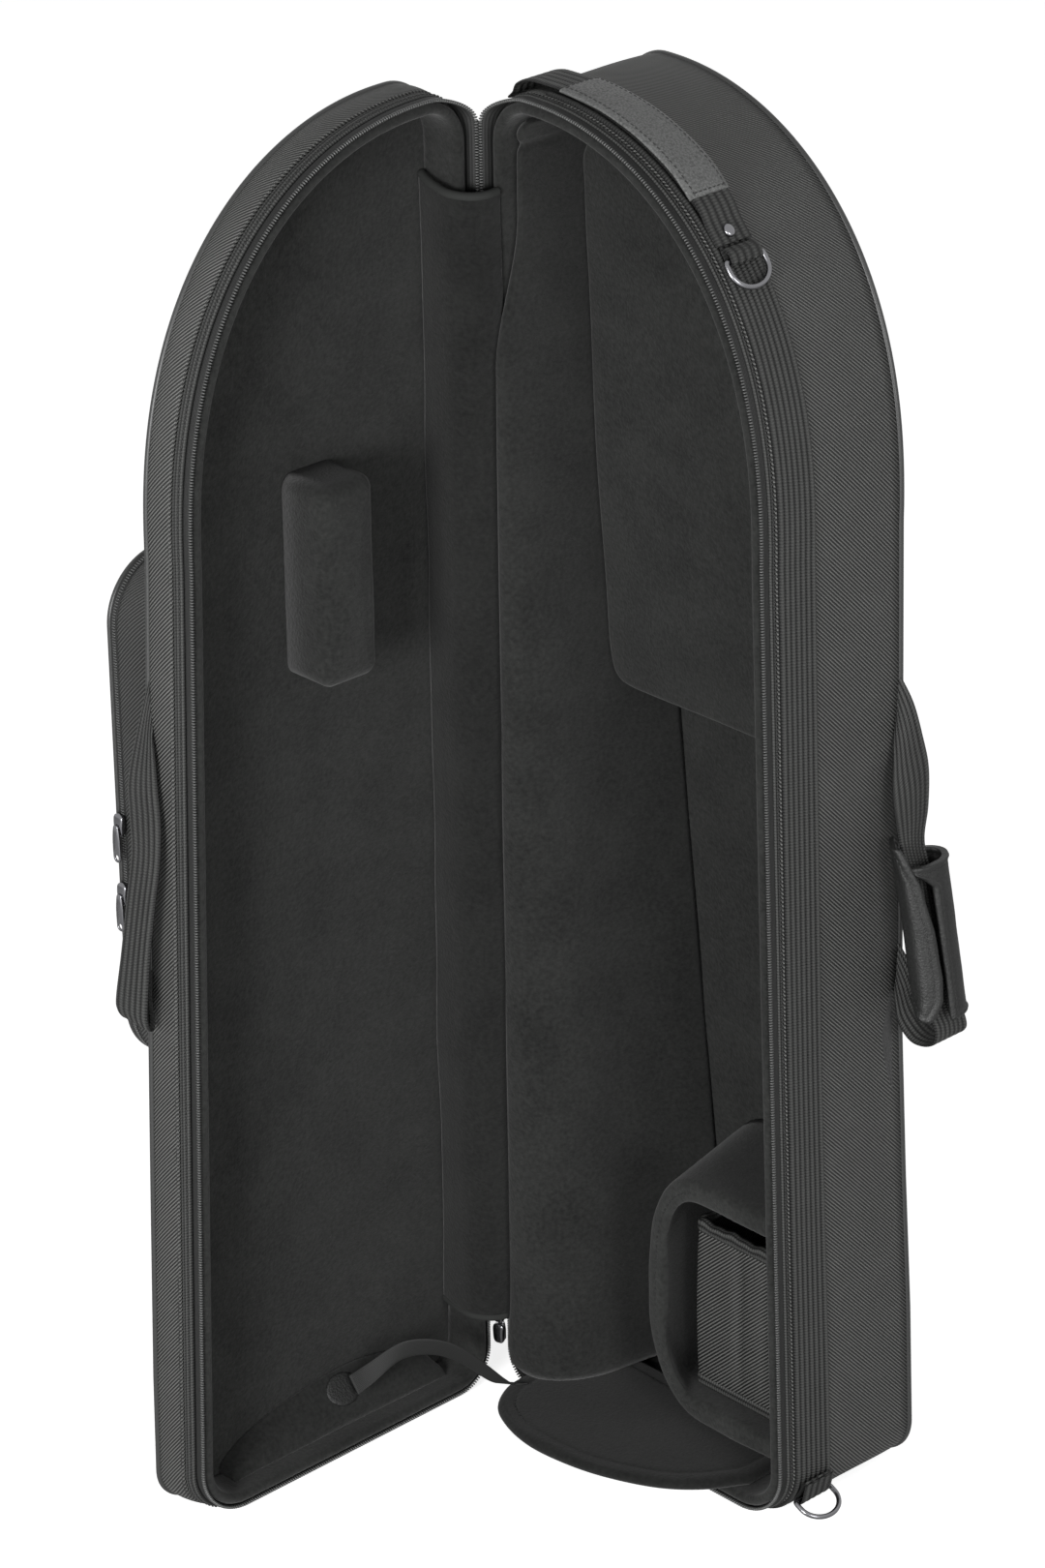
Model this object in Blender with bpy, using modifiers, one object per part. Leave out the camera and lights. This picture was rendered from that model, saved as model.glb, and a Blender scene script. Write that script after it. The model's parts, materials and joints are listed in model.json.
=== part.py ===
"""A soft trombone case, standing on its flat end and opened like a book.

Lengths are in metres and +Z is up. Everything is worked out in the hinge frame, whose Z axis is
the spine that the two halves fold about. The base half lies along +X with its depth along +Y. The
lid is its mirror image and lies along -Y with its depth along -X, which is a quarter turn open.
A point of a half is given as (u, s, z): u across the half from the spine, s down into its depth
from the zip, and z up. The last step moves the whole case so that the origin is on the floor, in
the middle of its footprint.
"""

import math

import bmesh
import bpy
import numpy as np
from mathutils import Matrix, Vector

# Outline that both halves share at the zip
HEIGHT = 0.95
FOOT_WIDTH = 0.2735
SHOULDER_WIDTH = 0.2505
SHOULDER_HEIGHT = 0.69
DOME_PEAK_U = 0.045
DOME_POWER_ACROSS = 2.05
DOME_POWER_UP = 2.4
SPINE_TOP_RADIUS = 0.035
SPINE_FOOT_RADIUS = 0.03
FREE_FOOT_RADIUS = 0.04
HINGE_GAP = 0.006

# Depths of the halves, and the layers of their walls
BASE_DEPTH = 0.129
LID_DEPTH = 0.0445
BOARD = 0.004
PADDING = 0.0075
PIPING_RADIUS = 0.0022
FIT = 0.0003

# Bands around the rim, measured down from the closing plane
RIM_GAP = 0.0006
TEETH_DEPTH = 0.0032
TEETH_THICKNESS = 0.0034
TAPE_DEPTH = 0.008
TAPE_THICKNESS = 0.0014
BASE_FACING_DEPTH = 0.0122
LID_FACING_DEPTH = 0.0187
FACING_THICKNESS = 0.003
RIM_SET_BACK = 0.0005
ZIP_TOP = HEIGHT - 0.078
ZIP_FOOT = 0.0655

# Webbing: the band round the base, the handles and the tabs
WEBBING_WIDTH = 0.033
WEBBING_THICKNESS = 0.0022
BAND_START = 0.0135
TAB_WIDTH = 0.0265
TAB_THICKNESS = 0.0015
TOP_TAB_REACH = 0.0085
FOOT_TAB_REACH = 0.016
RIB_COUNT = 6

# Padded pieces inside the base
PARTITION_TOP = HEIGHT - 0.0225
PARTITION_FOOT = 0.0206
PARTITION_RINGS = (0.01, 0.026, 0.06, 0.2, 0.365, 0.53, 0.66, 0.77, 0.826, 0.881, 0.937, 0.97, 0.99)
PARTITION_CROWN_START = HEIGHT - 0.055
PARTITION_SLOPE_START = 0.0655
PARTITION_SLOPE = 0.109
NOSE_REACH = 0.010
NOSE_SETBACK = 0.021
NOSE_CROWN = 0.004
NOSE_SETBACK_SIDE = 0.001
PARTITION_LEAST = 0.0095
PAD_SIDE = 0.0486
PAD_SIDE_SLOPE = 0.066
NOSE_FULLNESS = 0.9
NOSE_FOOT_Z = 0.804 * HEIGHT
NOSE_TAPER = 0.10
BELL_PAD_FACE = 0.062
BELL_PAD_FOOT = HEIGHT - 0.415
BELL_PAD_LEVELS = (0.05, 0.15, 0.25, 0.33)
PAD_GAP = 0.0008
COLLAR_LEFT = FOOT_WIDTH - 0.148
COLLAR_TOP = 0.220
COLLAR_FOOT = 0.032
COLLAR_FRONT = 0.02
COLLAR_WALL = 0.018
COLLAR_ROUND = 0.0545
COLLAR_RADIUS = 0.045
COLLAR_LEAN = 0.0225
FLAP_LEFT = 0.0315
FLAP_RIGHT = 0.234
FLAP_THICKNESS = 0.008
FLAP_REACH = 0.062
FLAP_BACK = 0.066

# Accessory pouch inside the collar
POUCH_LEFT = FOOT_WIDTH - 0.116
POUCH_RIGHT = FOOT_WIDTH - 0.0335
POUCH_FRONT = 0.037
POUCH_DEPTH = 0.056
POUCH_HEIGHT = 0.124
POUCH_WALL = 0.004
POUCH_CLEARANCE = 0.001
BINDING = 0.0022

# Padded pieces inside the lid
BLOCK_LEFT = 0.100
BLOCK_RIGHT = 0.146
BLOCK_FOOT = 0.578
BLOCK_TOP = 0.718
BLOCK_PROUD = 0.007
FLOOR_PAD_LEFT = 0.0375
FLOOR_PAD_RIGHT = 0.2325
FLOOR_PAD_FRONT = 0.0148
FLOOR_PAD_EDGE = 0.004
FLOOR_PAD_LOW = 0.011
FLOOR_PAD_CROWN = 0.024
PATCH_U = 0.126
PATCH_S = 0.0235
PATCH_LONG = 0.014
PATCH_SHORT = 0.0065
PATCH_THICKNESS = 0.0015
RIBBON_WIDTH = 0.014
RIBBON_THICKNESS = 0.0008

# Spine: the lining panel inside and the strip outside
SPINE_LINING_TOP = HEIGHT - 0.072
SPINE_LINING_FOOT = 0.062
SPINE_LINING_THICKNESS = 0.0035
STRIP_THICKNESS = 0.001
STRIP_REACH = 0.020
STRIP_TOP = HEIGHT - 0.038
STRIP_FOOT = 0.0618

# Pocket on the outside of the lid
POCKET_LEFT = 0.055
POCKET_RIGHT = SHOULDER_WIDTH - 0.0035
POCKET_FOOT = 0.308
POCKET_TOP = 0.672
POCKET_RADIUS = 0.045
POCKET_WALL_DEPTH = 0.0355
POCKET_WALL = 0.0025
POCKET_ZIP = 0.006
POCKET_PANEL = 0.005
POCKET_PIPING = 0.0018

# Zip sliders and their pulls
SLIDER_LENGTH = 0.016
SLIDER_WIDTH = 0.0096
SLIDER_THICKNESS = 0.0045
POCKET_PULL_LENGTH = 0.026
MAIN_PULL_LENGTH = 0.0155
PULL_WIDTH = 0.007
PULL_THICKNESS = 0.0014
POCKET_SLIDER_HIGH = 0.490
POCKET_SLIDER_LOW = 0.440
MAIN_SLIDER_Z = 0.0370
MAIN_SLIDER_ANGLE = 105

# Handles and D-rings
BASE_HANDLE_TOP = 0.578
LID_HANDLE_TOP = 0.596
HANDLE_EDGE = 0.1215
BASE_HANDLE_REACH = 0.036
BASE_HANDLE_FOOT = 0.331
LID_HANDLE_REACH = 0.029
LID_HANDLE_FOOT = 0.372
SEAM = 0.001
GRIP_TOP = 0.470
GRIP_FOOT = 0.350
GRIP_REACH_TOP = 0.0175
GRIP_REACH_FOOT = 0.0365
GRIP_DEEP = 0.0125
GRIP_WIDE = 0.0190
GRIP_THICKNESS = 0.0035
GRIP_START = -32
GRIP_END = 196
FLAP_START = 208
FLAP_END = 314
SLEEVE_START_U = 0.060
SLEEVE_END_U = 0.175
SLEEVE_WIDTH = 0.0345
TOP_HANDLE_WIDTH = 0.0295
HANDLE_LIFT = 0.0108
SLEEVE_THICKNESS = 0.0070
RIVET_U = 0.1875
RIVET_RADIUS = 0.0035
RIVET_HEIGHT = 0.0015
RING_RADIUS = 0.0162
RING_WIRE = 0.0016
RING_DROP = 0.0065
TOP_RING_STEP = 0.012
FOOT_RING_ANGLE = -30
FOOT_RING_DOWN = (0.90, 0.0, -0.43)

ARC_STEPS = 6
DOME_STEPS = 15


# Materials, scene and placing

def clear_scene():
    for old in list(bpy.data.objects):
        bpy.data.objects.remove(old, do_unlink=True)


def material(name, colour, roughness, metallic=0.0):
    made = bpy.data.materials.new(name)
    made.use_nodes = True
    shader = made.node_tree.nodes["Principled BSDF"]
    shader.inputs["Base Color"].default_value = (*colour, 1.0)
    shader.inputs["Roughness"].default_value = roughness
    shader.inputs["Metallic"].default_value = metallic
    made.diffuse_color = (*colour, 1.0)
    return made


def new_collection(name):
    made = bpy.data.collections.new(name)
    bpy.context.scene.collection.children.link(made)
    return made


clear_scene()
CASE = new_collection("trombone_case")
CUTTERS = new_collection("cutters")
STAND = bpy.data.objects.new("stand", None)
CASE.objects.link(STAND)


def finish_of(obj, colour, roughness, metallic):
    obj.data.materials.append(material(obj.name + "_finish", colour, roughness, metallic))


def twill(obj):
    finish_of(obj, (0.030, 0.031, 0.031), 0.72, 0.0)


def velour(obj):
    finish_of(obj, (0.018, 0.019, 0.019), 0.95, 0.0)


def webbing(obj):
    finish_of(obj, (0.026, 0.027, 0.027), 0.8, 0.0)


def leather(obj):
    finish_of(obj, (0.036, 0.037, 0.038), 0.5, 0.0)


def cord(obj):
    finish_of(obj, (0.020, 0.020, 0.021), 0.45, 0.0)


def metal(obj):
    finish_of(obj, (0.22, 0.22, 0.23), 0.3, 1.0)


def on_base(u, s, z):
    return Vector((u, s, z))


def on_lid(u, s, z):
    return Vector((-s, -u, z))


def add(name, data, finish):
    """Puts a mesh or a curve into the case, under the stand."""
    obj = bpy.data.objects.new(name, data)
    CASE.objects.link(obj)
    obj.parent = STAND
    finish(obj)
    return obj


def cutter(obj):
    """Takes an object out of the case and keeps it as a cutting tool."""
    CASE.objects.unlink(obj)
    CUTTERS.objects.link(obj)
    obj.hide_render = True
    obj.display_type = "WIRE"
    return obj


def difference(obj, tool):
    cut = obj.modifiers.new("cut " + tool.name, "BOOLEAN")
    cut.operation = "DIFFERENCE"
    cut.object = tool


def bevelled(obj, width, segments=2):
    edge = obj.modifiers.new("rounded edges", "BEVEL")
    edge.width = width
    edge.segments = segments
    edge.limit_method = "ANGLE"
    edge.angle_limit = math.radians(40)
    return obj


# Outlines and paths

def width_at(z):
    """Distance from the spine to the sloping free edge at a height below the dome."""
    share = (z - FREE_FOOT_RADIUS) / (SHOULDER_HEIGHT - FREE_FOOT_RADIUS)
    return FOOT_WIDTH + (SHOULDER_WIDTH - FOOT_WIDTH) * min(max(share, 0.0), 1.0)


def arc(centre, radius, start, end, steps=ARC_STEPS):
    angles = np.radians(np.linspace(start, end, steps + 1))
    return [(centre[0] + radius * math.cos(a), centre[1] + radius * math.sin(a)) for a in angles]


def dome():
    """A quarter of an oval from the shoulder of the free edge to the peak, fuller at the shoulder."""
    wide = SHOULDER_WIDTH - DOME_PEAK_U
    tall = HEIGHT - SHOULDER_HEIGHT
    angles = np.linspace(0, math.pi / 2, DOME_STEPS + 1)
    across = [DOME_PEAK_U + wide * math.cos(a) ** (2 / DOME_POWER_ACROSS) for a in angles[:-1]]
    up = [SHOULDER_HEIGHT + tall * math.sin(a) ** (2 / DOME_POWER_UP) for a in angles[:-1]]
    return list(zip(across, up)) + [(DOME_PEAK_U, HEIGHT)]


def straight(start, end, steps):
    """Points between two corners, without the corners."""
    shares = np.linspace(0, 1, steps + 1)[1:-1]
    return [tuple((1 - t) * np.array(start) + t * np.array(end)) for t in shares]


def rim():
    """The outline at the zip, from the foot of the spine round by the floor and the dome."""
    spine_foot = arc((HINGE_GAP + SPINE_FOOT_RADIUS, SPINE_FOOT_RADIUS), SPINE_FOOT_RADIUS, 180, 270)
    free_foot = arc((FOOT_WIDTH - FREE_FOOT_RADIUS, FREE_FOOT_RADIUS), FREE_FOOT_RADIUS, 270, 360)
    top = arc((HINGE_GAP + SPINE_TOP_RADIUS, HEIGHT - SPINE_TOP_RADIUS), SPINE_TOP_RADIUS, 90, 180)
    over = dome()
    points = spine_foot + straight(spine_foot[-1], free_foot[0], 4) + free_foot
    points += straight(free_foot[-1], over[0], 6) + over + top
    return points + straight(top[-1], spine_foot[0], 6)


def inset(points, distance, closed=True):
    """Moves an outline that runs anticlockwise inwards along its normals."""
    p = np.array(points, float)
    if closed:
        ahead = np.roll(p, -1, axis=0) - p
        behind = p - np.roll(p, 1, axis=0)
    else:
        step = np.diff(p, axis=0)
        ahead = np.vstack([step, step[-1:]])
        behind = np.vstack([step[:1], step])
    ahead = ahead / np.linalg.norm(ahead, axis=1)[:, None]
    behind = behind / np.linalg.norm(behind, axis=1)[:, None]
    along = ahead + behind
    along = along / np.linalg.norm(along, axis=1)[:, None]
    half_turn = (ahead * along).sum(axis=1)
    normal = np.stack([-along[:, 1], along[:, 0]], axis=1)
    return [tuple(q) for q in p + normal * (distance / half_turn)[:, None]]


def zip_path():
    """The rim without the stretch along the spine, from the zip's foot to its top."""
    points = rim()
    first = [(HINGE_GAP, ZIP_FOOT)]
    top = next(i for i, q in enumerate(points) if i > 20 and q[0] < HINGE_GAP + 1e-6)
    return first + points[: top + 1] + [(HINGE_GAP, ZIP_TOP)]


def smooth(points, steps):
    """A Catmull-Rom curve through hand-placed points, each with any number of coordinates."""
    p = np.array(points, float)
    p = np.vstack([2 * p[0] - p[1], p, 2 * p[-1] - p[-2]])
    out = []
    for i in range(1, len(p) - 2):
        for t in np.linspace(0, 1, steps, endpoint=False):
            a = 2 * p[i]
            b = (p[i + 1] - p[i - 1]) * t
            c = (2 * p[i - 1] - 5 * p[i] + 4 * p[i + 1] - p[i + 2]) * t * t
            d = (3 * p[i] - p[i - 1] - 3 * p[i + 1] + p[i + 2]) * t * t * t
            out.append(0.5 * (a + b + c + d))
    out.append(p[-2])
    return out


# Solids

def ribbon(name, rows, thickness, finish, closed=False):
    """An open surface between two or more rows of points, given its thickness by Solidify."""
    mesh = bpy.data.meshes.new(name)
    bm = bmesh.new()
    verts = [[bm.verts.new(q) for q in row] for row in rows]
    count = len(rows[0])
    for low, high in zip(verts, verts[1:]):
        for i in range(count if closed else count - 1):
            j = (i + 1) % count
            bm.faces.new((low[i], low[j], high[j], high[i]))
    bm.to_mesh(mesh)
    bm.free()
    obj = add(name, mesh, finish)
    shell = obj.modifiers.new("thickness", "SOLIDIFY")
    shell.thickness = thickness
    shell.offset = 0
    shell.use_even_offset = True
    return obj


def wall(name, half, path, span, layer, finish, closed=True):
    """A band that stands square to the rim: span is its depths, layer its distances inwards."""
    near, far = layer
    middle = inset(path, (near + far) / 2, closed)
    rows = [[half(u, s, z) for u, z in middle] for s in span]
    return ribbon(name, rows, far - near, finish, closed)


def slab(name, outline, thickness, finish, edge=0.0, edge_steps=1):
    """A flat outline filled and extruded, lying in the XY plane about z = 0."""
    data = bpy.data.curves.new(name, "CURVE")
    data.dimensions = "2D"
    data.fill_mode = "BOTH"
    data.extrude = thickness / 2 - edge
    data.bevel_depth = edge
    data.bevel_resolution = edge_steps
    spline = data.splines.new("POLY")
    points = inset(outline, edge)
    spline.points.add(len(points) - 1)
    for point, (x, y) in zip(spline.points, points):
        point.co = (x, y, 0, 1)
    spline.use_cyclic_u = True
    return add(name, data, finish)


def base_slab(name, outline, span, finish, edge=0.0, edge_steps=1):
    """A slab whose outline is in (u, z) and whose thickness is a span of the base's depth."""
    obj = slab(name, outline, span[1] - span[0], finish, edge, edge_steps)
    obj.rotation_euler = (math.pi / 2, 0, 0)
    obj.location = on_base(0, (span[0] + span[1]) / 2, 0)
    return obj


def lid_slab(name, outline, span, finish, edge=0.0, edge_steps=1):
    """The same for the lid, where u runs along -Y and the depth along -X."""
    obj = slab(name, outline, span[1] - span[0], finish, edge, edge_steps)
    obj.rotation_euler = (math.pi / 2, 0, -math.pi / 2)
    obj.location = on_lid(0, (span[0] + span[1]) / 2, 0)
    return obj


def tube(name, points, radius, finish, closed=False, resolution=1):
    data = bpy.data.curves.new(name, "CURVE")
    data.dimensions = "3D"
    data.bevel_depth = radius
    data.bevel_resolution = resolution
    data.use_fill_caps = True
    spline = data.splines.new("POLY")
    spline.points.add(len(points) - 1)
    for point, place in zip(spline.points, points):
        point.co = (*place, 1)
    spline.use_cyclic_u = closed
    return add(name, data, finish)


def loft(name, rings, finish):
    """A closed body through unlike rings with the same number of points, capped at both ends."""
    mesh = bpy.data.meshes.new(name)
    bm = bmesh.new()
    loops = [[bm.verts.new(q) for q in ring] for ring in rings]
    count = len(rings[0])
    for low, high in zip(loops, loops[1:]):
        for i in range(count):
            j = (i + 1) % count
            bm.faces.new((low[i], low[j], high[j], high[i]))
    bm.faces.new(loops[0][::-1])
    bm.faces.new(loops[-1])
    bmesh.ops.recalc_face_normals(bm, faces=bm.faces)
    if bm.calc_volume(signed=True) < 0:
        bmesh.ops.reverse_faces(bm, faces=bm.faces)
    bm.to_mesh(mesh)
    bm.free()
    return add(name, mesh, finish)


def block(name, low, high, finish):
    """A box from a cube, between two corners."""
    mesh = bpy.data.meshes.new(name)
    bm = bmesh.new()
    bmesh.ops.create_cube(bm, size=1)
    low = Vector(low)
    high = Vector(high)
    centre = (low + high) / 2
    size = high - low
    bmesh.ops.transform(bm, matrix=Matrix.Translation(centre) @ Matrix.Diagonal((*size, 1)), verts=bm.verts)
    bm.to_mesh(mesh)
    bm.free()
    return add(name, mesh, finish)


# Shell of each half

def shell_of(prefix, half, depth, facing_depth, flat):
    """Gusset, broad panel, piping, zip and padding of one half."""
    outline = rim()
    panel_step = BOARD + FIT
    lining_depth = depth - panel_step - PADDING
    piping_step = 2 * PIPING_RADIUS + FIT
    wall_end = depth - piping_step - FIT
    wall(prefix + "_gusset", half, outline, (facing_depth + FIT, wall_end), (0, BOARD), twill)
    flat(prefix + "_panel", inset(outline, piping_step), (depth - BOARD, depth), twill)
    bead = [half(u, depth - FIT - PIPING_RADIUS, z) for u, z in inset(outline, PIPING_RADIUS)]
    tube(prefix + "_piping", bead, PIPING_RADIUS, cord, closed=True)
    lining = wall(
        prefix + "_wall_lining", half, outline, (RIM_GAP, lining_depth - FIT),
        (BOARD + FIT, BOARD + FIT + PADDING), velour,
    )
    bevelled(lining, 0.0025)
    flat(
        prefix + "_panel_lining", inset(outline, BOARD + FIT),
        (lining_depth, lining_depth + PADDING), velour,
    )
    path = zip_path()
    teeth_layer = (RIM_SET_BACK, RIM_SET_BACK + TEETH_THICKNESS)
    wall(prefix + "_zip_teeth", half, path, (RIM_GAP, TEETH_DEPTH), teeth_layer, metal, closed=False)
    tape_layer = (RIM_SET_BACK + FACING_THICKNESS - TAPE_THICKNESS, RIM_SET_BACK + FACING_THICKNESS)
    wall(
        prefix + "_zip_tape", half, path, (TEETH_DEPTH + FIT, TAPE_DEPTH), tape_layer, cord, closed=False
    )
    facing_layer = (RIM_SET_BACK, RIM_SET_BACK + FACING_THICKNESS)
    wall(prefix + "_zip_facing", half, outline, (TAPE_DEPTH + FIT, facing_depth), facing_layer, twill)


def base_band():
    """Ribbed webbing sewn round the base's wall, from the spine's top to the free foot."""
    outline = rim()
    start = next(i for i, q in enumerate(outline) if q[0] > FOOT_WIDTH - FREE_FOOT_RADIUS / 2)
    end = next(i for i, q in enumerate(outline) if i > start and q[0] < DOME_PEAK_U + FIT)
    path = outline[start : end + 2]
    lift = -(FIT + WEBBING_THICKNESS / 2)
    middle = inset(path, lift, closed=False)
    rows = []
    steps = 2 * RIB_COUNT
    for k in range(steps + 1):
        s = BAND_START + WEBBING_WIDTH * k / steps
        rows.append([on_base(u, s, z) for u, z in middle])
    band = ribbon("base_webbing_band", rows, WEBBING_THICKNESS, webbing)
    return band


# Padded pieces inside the base

INNER = BOARD + FIT + PADDING


def base_back():
    """Depth of the face of the base's padded broad side."""
    return BASE_DEPTH - INNER


def foot_of_partition(z):
    """Where the partition's side meets the base's back, further from the spine near the floor."""
    return PARTITION_SLOPE_START + PARTITION_SLOPE * (HEIGHT / 2 - max(z, COLLAR_TOP - COLLAR_RADIUS))


def ease(value):
    value = min(max(value, 0.0), 1.0)
    return value * value * (3 - 2 * value)


def spine_side(z):
    """Just clear of the padded wall beside the spine at a height, also where the corners turn."""
    top = z - HEIGHT + SPINE_TOP_RADIUS
    for radius, off in ((SPINE_FOOT_RADIUS, SPINE_FOOT_RADIUS - z), (SPINE_TOP_RADIUS, top)):
        if off > 0:
            return HINGE_GAP + radius - math.sqrt((radius - INNER) ** 2 - off**2) + 2 * FIT
    return HINGE_GAP + INNER + FIT


def side_by_pad(z):
    """Where the partition's side meets the bell pad's face, or would meet it below the pad."""
    return max(PAD_SIDE - PAD_SIDE_SLOPE * (z - BELL_PAD_FOOT), spine_side(z) + PARTITION_LEAST)


def slide_partition():
    """A tall padded wall along the spine, with a large round nose that draws back near the top."""
    back = base_back() - FIT
    under_pad = BELL_PAD_FOOT - PAD_GAP
    rise = PARTITION_TOP - PARTITION_FOOT
    heights = [PARTITION_FOOT + share * rise for share in (0.0, *PARTITION_RINGS, 1.0)]
    rings = []
    for z in sorted([*heights, under_pad - PAD_GAP, under_pad]):
        crown = max(0.0, (z - PARTITION_CROWN_START) / (PARTITION_TOP - PARTITION_CROWN_START)) ** 2
        spine_face = spine_side(z)
        shrink = NOSE_CROWN * crown
        front = -NOSE_REACH + NOSE_SETBACK * ease((z - NOSE_FOOT_Z) / NOSE_TAPER) + shrink
        side = side_by_pad(z)
        behind = foot_of_partition(z) if z < under_pad else side
        right = side - NOSE_SETBACK_SIDE
        left = spine_face
        ring = [(spine_face, back), (spine_face, front + 0.026), (left, front + 0.010)]
        turn = 0.007
        for angle in np.radians((200, 240, 275)):
            ring.append((left + turn + turn * math.cos(angle), front + turn + turn * math.sin(angle)))
        reach = BELL_PAD_FACE - front
        for angle in np.radians(np.linspace(76, 6, 6)):
            across = (right - left - turn) * math.cos(angle) ** NOSE_FULLNESS
            ring.append((left + turn + across, front + reach * (1 - math.sin(angle))))
        ring += [(side + 0.3 * (behind - side), BELL_PAD_FACE + 0.02), (behind, back)]
        rings.append([on_base(u, s, z) for u, s in ring])
    return loft("slide_partition", rings, velour)


def bell_pad():
    """The thick pad behind the bell, filling the upper part of the base behind its face."""
    inner = inset(rim(), INNER + FIT)
    above = [q for q in inner if q[1] > BELL_PAD_FOOT + 0.02 and q[0] > side_by_pad(q[1]) + 0.004]
    gap = PAD_GAP
    levels = [HEIGHT - step for step in BELL_PAD_LEVELS] + [BELL_PAD_FOOT + 0.014]
    left = [(side_by_pad(z) + gap, z) for z in levels]
    corner = [
        (PAD_SIDE + gap + 0.004, BELL_PAD_FOOT + 0.004),
        (PAD_SIDE + gap + 0.014, BELL_PAD_FOOT),
    ]
    right = [(width_at(BELL_PAD_FOOT) - INNER - FIT, BELL_PAD_FOOT)]
    outline = right + above + left + corner
    return base_slab("bell_pad", outline, (BELL_PAD_FACE, base_back() - FIT), velour, edge=0.005)


def half_superellipse(centre, wide, tall, power, steps):
    """The left half of a superellipse, from its top down to its foot."""
    out = []
    for angle in np.linspace(0, math.pi, steps + 1):
        x = abs(math.sin(angle)) ** (2 / power)
        z = math.copysign(abs(math.cos(angle)) ** (2 / power), math.cos(angle))
        out.append((centre[0] - wide * x, centre[1] + tall * z))
    return out


def accessory_collar():
    """A padded arch from the base's back almost to the zip, round the accessory compartment."""
    middle = (COLLAR_TOP + COLLAR_FOOT) / 2
    tall = (COLLAR_TOP - COLLAR_FOOT) / 2
    rings = []
    for share in (0.0, 0.5, 1.0):
        s = COLLAR_FRONT + share * (base_back() - FIT - COLLAR_FRONT)
        centre = (COLLAR_LEFT + COLLAR_ROUND - COLLAR_LEAN * share, middle)
        outer = half_superellipse(centre, COLLAR_ROUND, tall, 2.4, 14)
        room = half_superellipse(centre, COLLAR_ROUND - COLLAR_WALL, tall - COLLAR_WALL, 8.0, 14)
        ends = [width_at(z) - INNER - 2 * FIT for z in (outer[0][1], room[0][1], room[-1][1], outer[-1][1])]
        outline = [(ends[0], outer[0][1])] + outer + [(ends[3] - 0.002, outer[-1][1])]
        outline += [(ends[2], room[-1][1])] + room[::-1] + [(ends[1], room[0][1])]
        rings.append([on_base(u, s, z) for u, z in outline])
    return loft("accessory_collar", rings, velour)


def flap_outline():
    """The end flap seen from above: a straight back and a front that swells past the zip."""
    left = FLAP_LEFT
    right = FLAP_RIGHT
    front = smooth(
        [
            (left, 0.0), (0.0325, -0.022), (0.042, -0.041), (0.056, -0.052), (0.082, -0.0605),
            (0.110, -FLAP_REACH), (0.150, -0.055), (0.190, -0.038), (0.216, -0.016), (right, 0.012),
        ],
        2,
    )
    return [(left, FLAP_BACK)] + [tuple(q) for q in front] + [(right, FLAP_BACK)]


def end_flap():
    """The padded flap on the base's floor, which slides in under the collar as the lid closes."""
    flap = slab("end_flap", flap_outline(), FLAP_THICKNESS, velour, edge=0.003)
    flap.location = (0, 0, INNER + FIT + FLAP_THICKNESS / 2)
    return flap


def pouch():
    """The accessory pouch: an open box of twill with bound edges, standing in the collar."""
    floor = COLLAR_FOOT + COLLAR_WALL + POUCH_CLEARANCE
    low = Vector((POUCH_LEFT, POUCH_FRONT, floor + BINDING + FIT))
    high = Vector((POUCH_RIGHT, POUCH_FRONT + POUCH_DEPTH, floor + POUCH_HEIGHT))
    inner = Vector((POUCH_WALL, POUCH_WALL, 0))
    lip = Vector((BINDING, BINDING, 0))
    up = Vector((0, 0, 1))
    body = block("pouch_body", low, high, twill)
    hollow = block("pouch_hollow", low + inner + up * POUCH_WALL, high - inner + up * POUCH_WALL, twill)
    difference(body, cutter(hollow))
    bottom = Vector((low.x, low.y, floor))
    foot = block("pouch_foot_binding", bottom - lip, Vector((high.x, high.y, floor + BINDING)) + lip, twill)
    bevelled(foot, 0.0009, 1)
    mouth_low = Vector((low.x, low.y, high.z + FIT))
    mouth_high = Vector((high.x, high.y, high.z + FIT + 2 * BINDING))
    binding = block("pouch_top_binding", mouth_low - lip, mouth_high + lip, twill)
    mouth = block("pouch_mouth", mouth_low + inner - up * BINDING, mouth_high - inner + up * BINDING, twill)
    difference(binding, cutter(mouth))
    return [body, foot, binding]


# Padded pieces inside the lid

def lid_face():
    """Depth just clear of the lid's padded broad side."""
    return LID_DEPTH - INNER - FIT


def lid_block():
    """A firm padded block on the lid's broad side that presses on the instrument."""
    corners = (on_lid(BLOCK_LEFT, lid_face(), BLOCK_FOOT), on_lid(BLOCK_RIGHT, -BLOCK_PROUD, BLOCK_TOP))
    low = Vector(map(min, *corners))
    high = Vector(map(max, *corners))
    return bevelled(block("lid_block", low, high, velour), 0.006, 3)


def pad_height(share, s):
    """Height of the lid's floor pad, at a share of its length and a depth into the lid."""
    if not 0 < share < 1:
        return INNER + FIT + FLOOR_PAD_EDGE
    rise = (s - FLOOR_PAD_FRONT) / (lid_face() - FLOOR_PAD_FRONT)
    peak = FLOOR_PAD_LOW + FLOOR_PAD_CROWN * rise - FLOOR_PAD_EDGE
    return INNER + FIT + FLOOR_PAD_EDGE + peak * math.sin(math.pi * share ** 0.85) ** 0.6


def pad_share(u):
    return (u - FLOOR_PAD_LEFT) / (FLOOR_PAD_RIGHT - FLOOR_PAD_LEFT)


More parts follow.
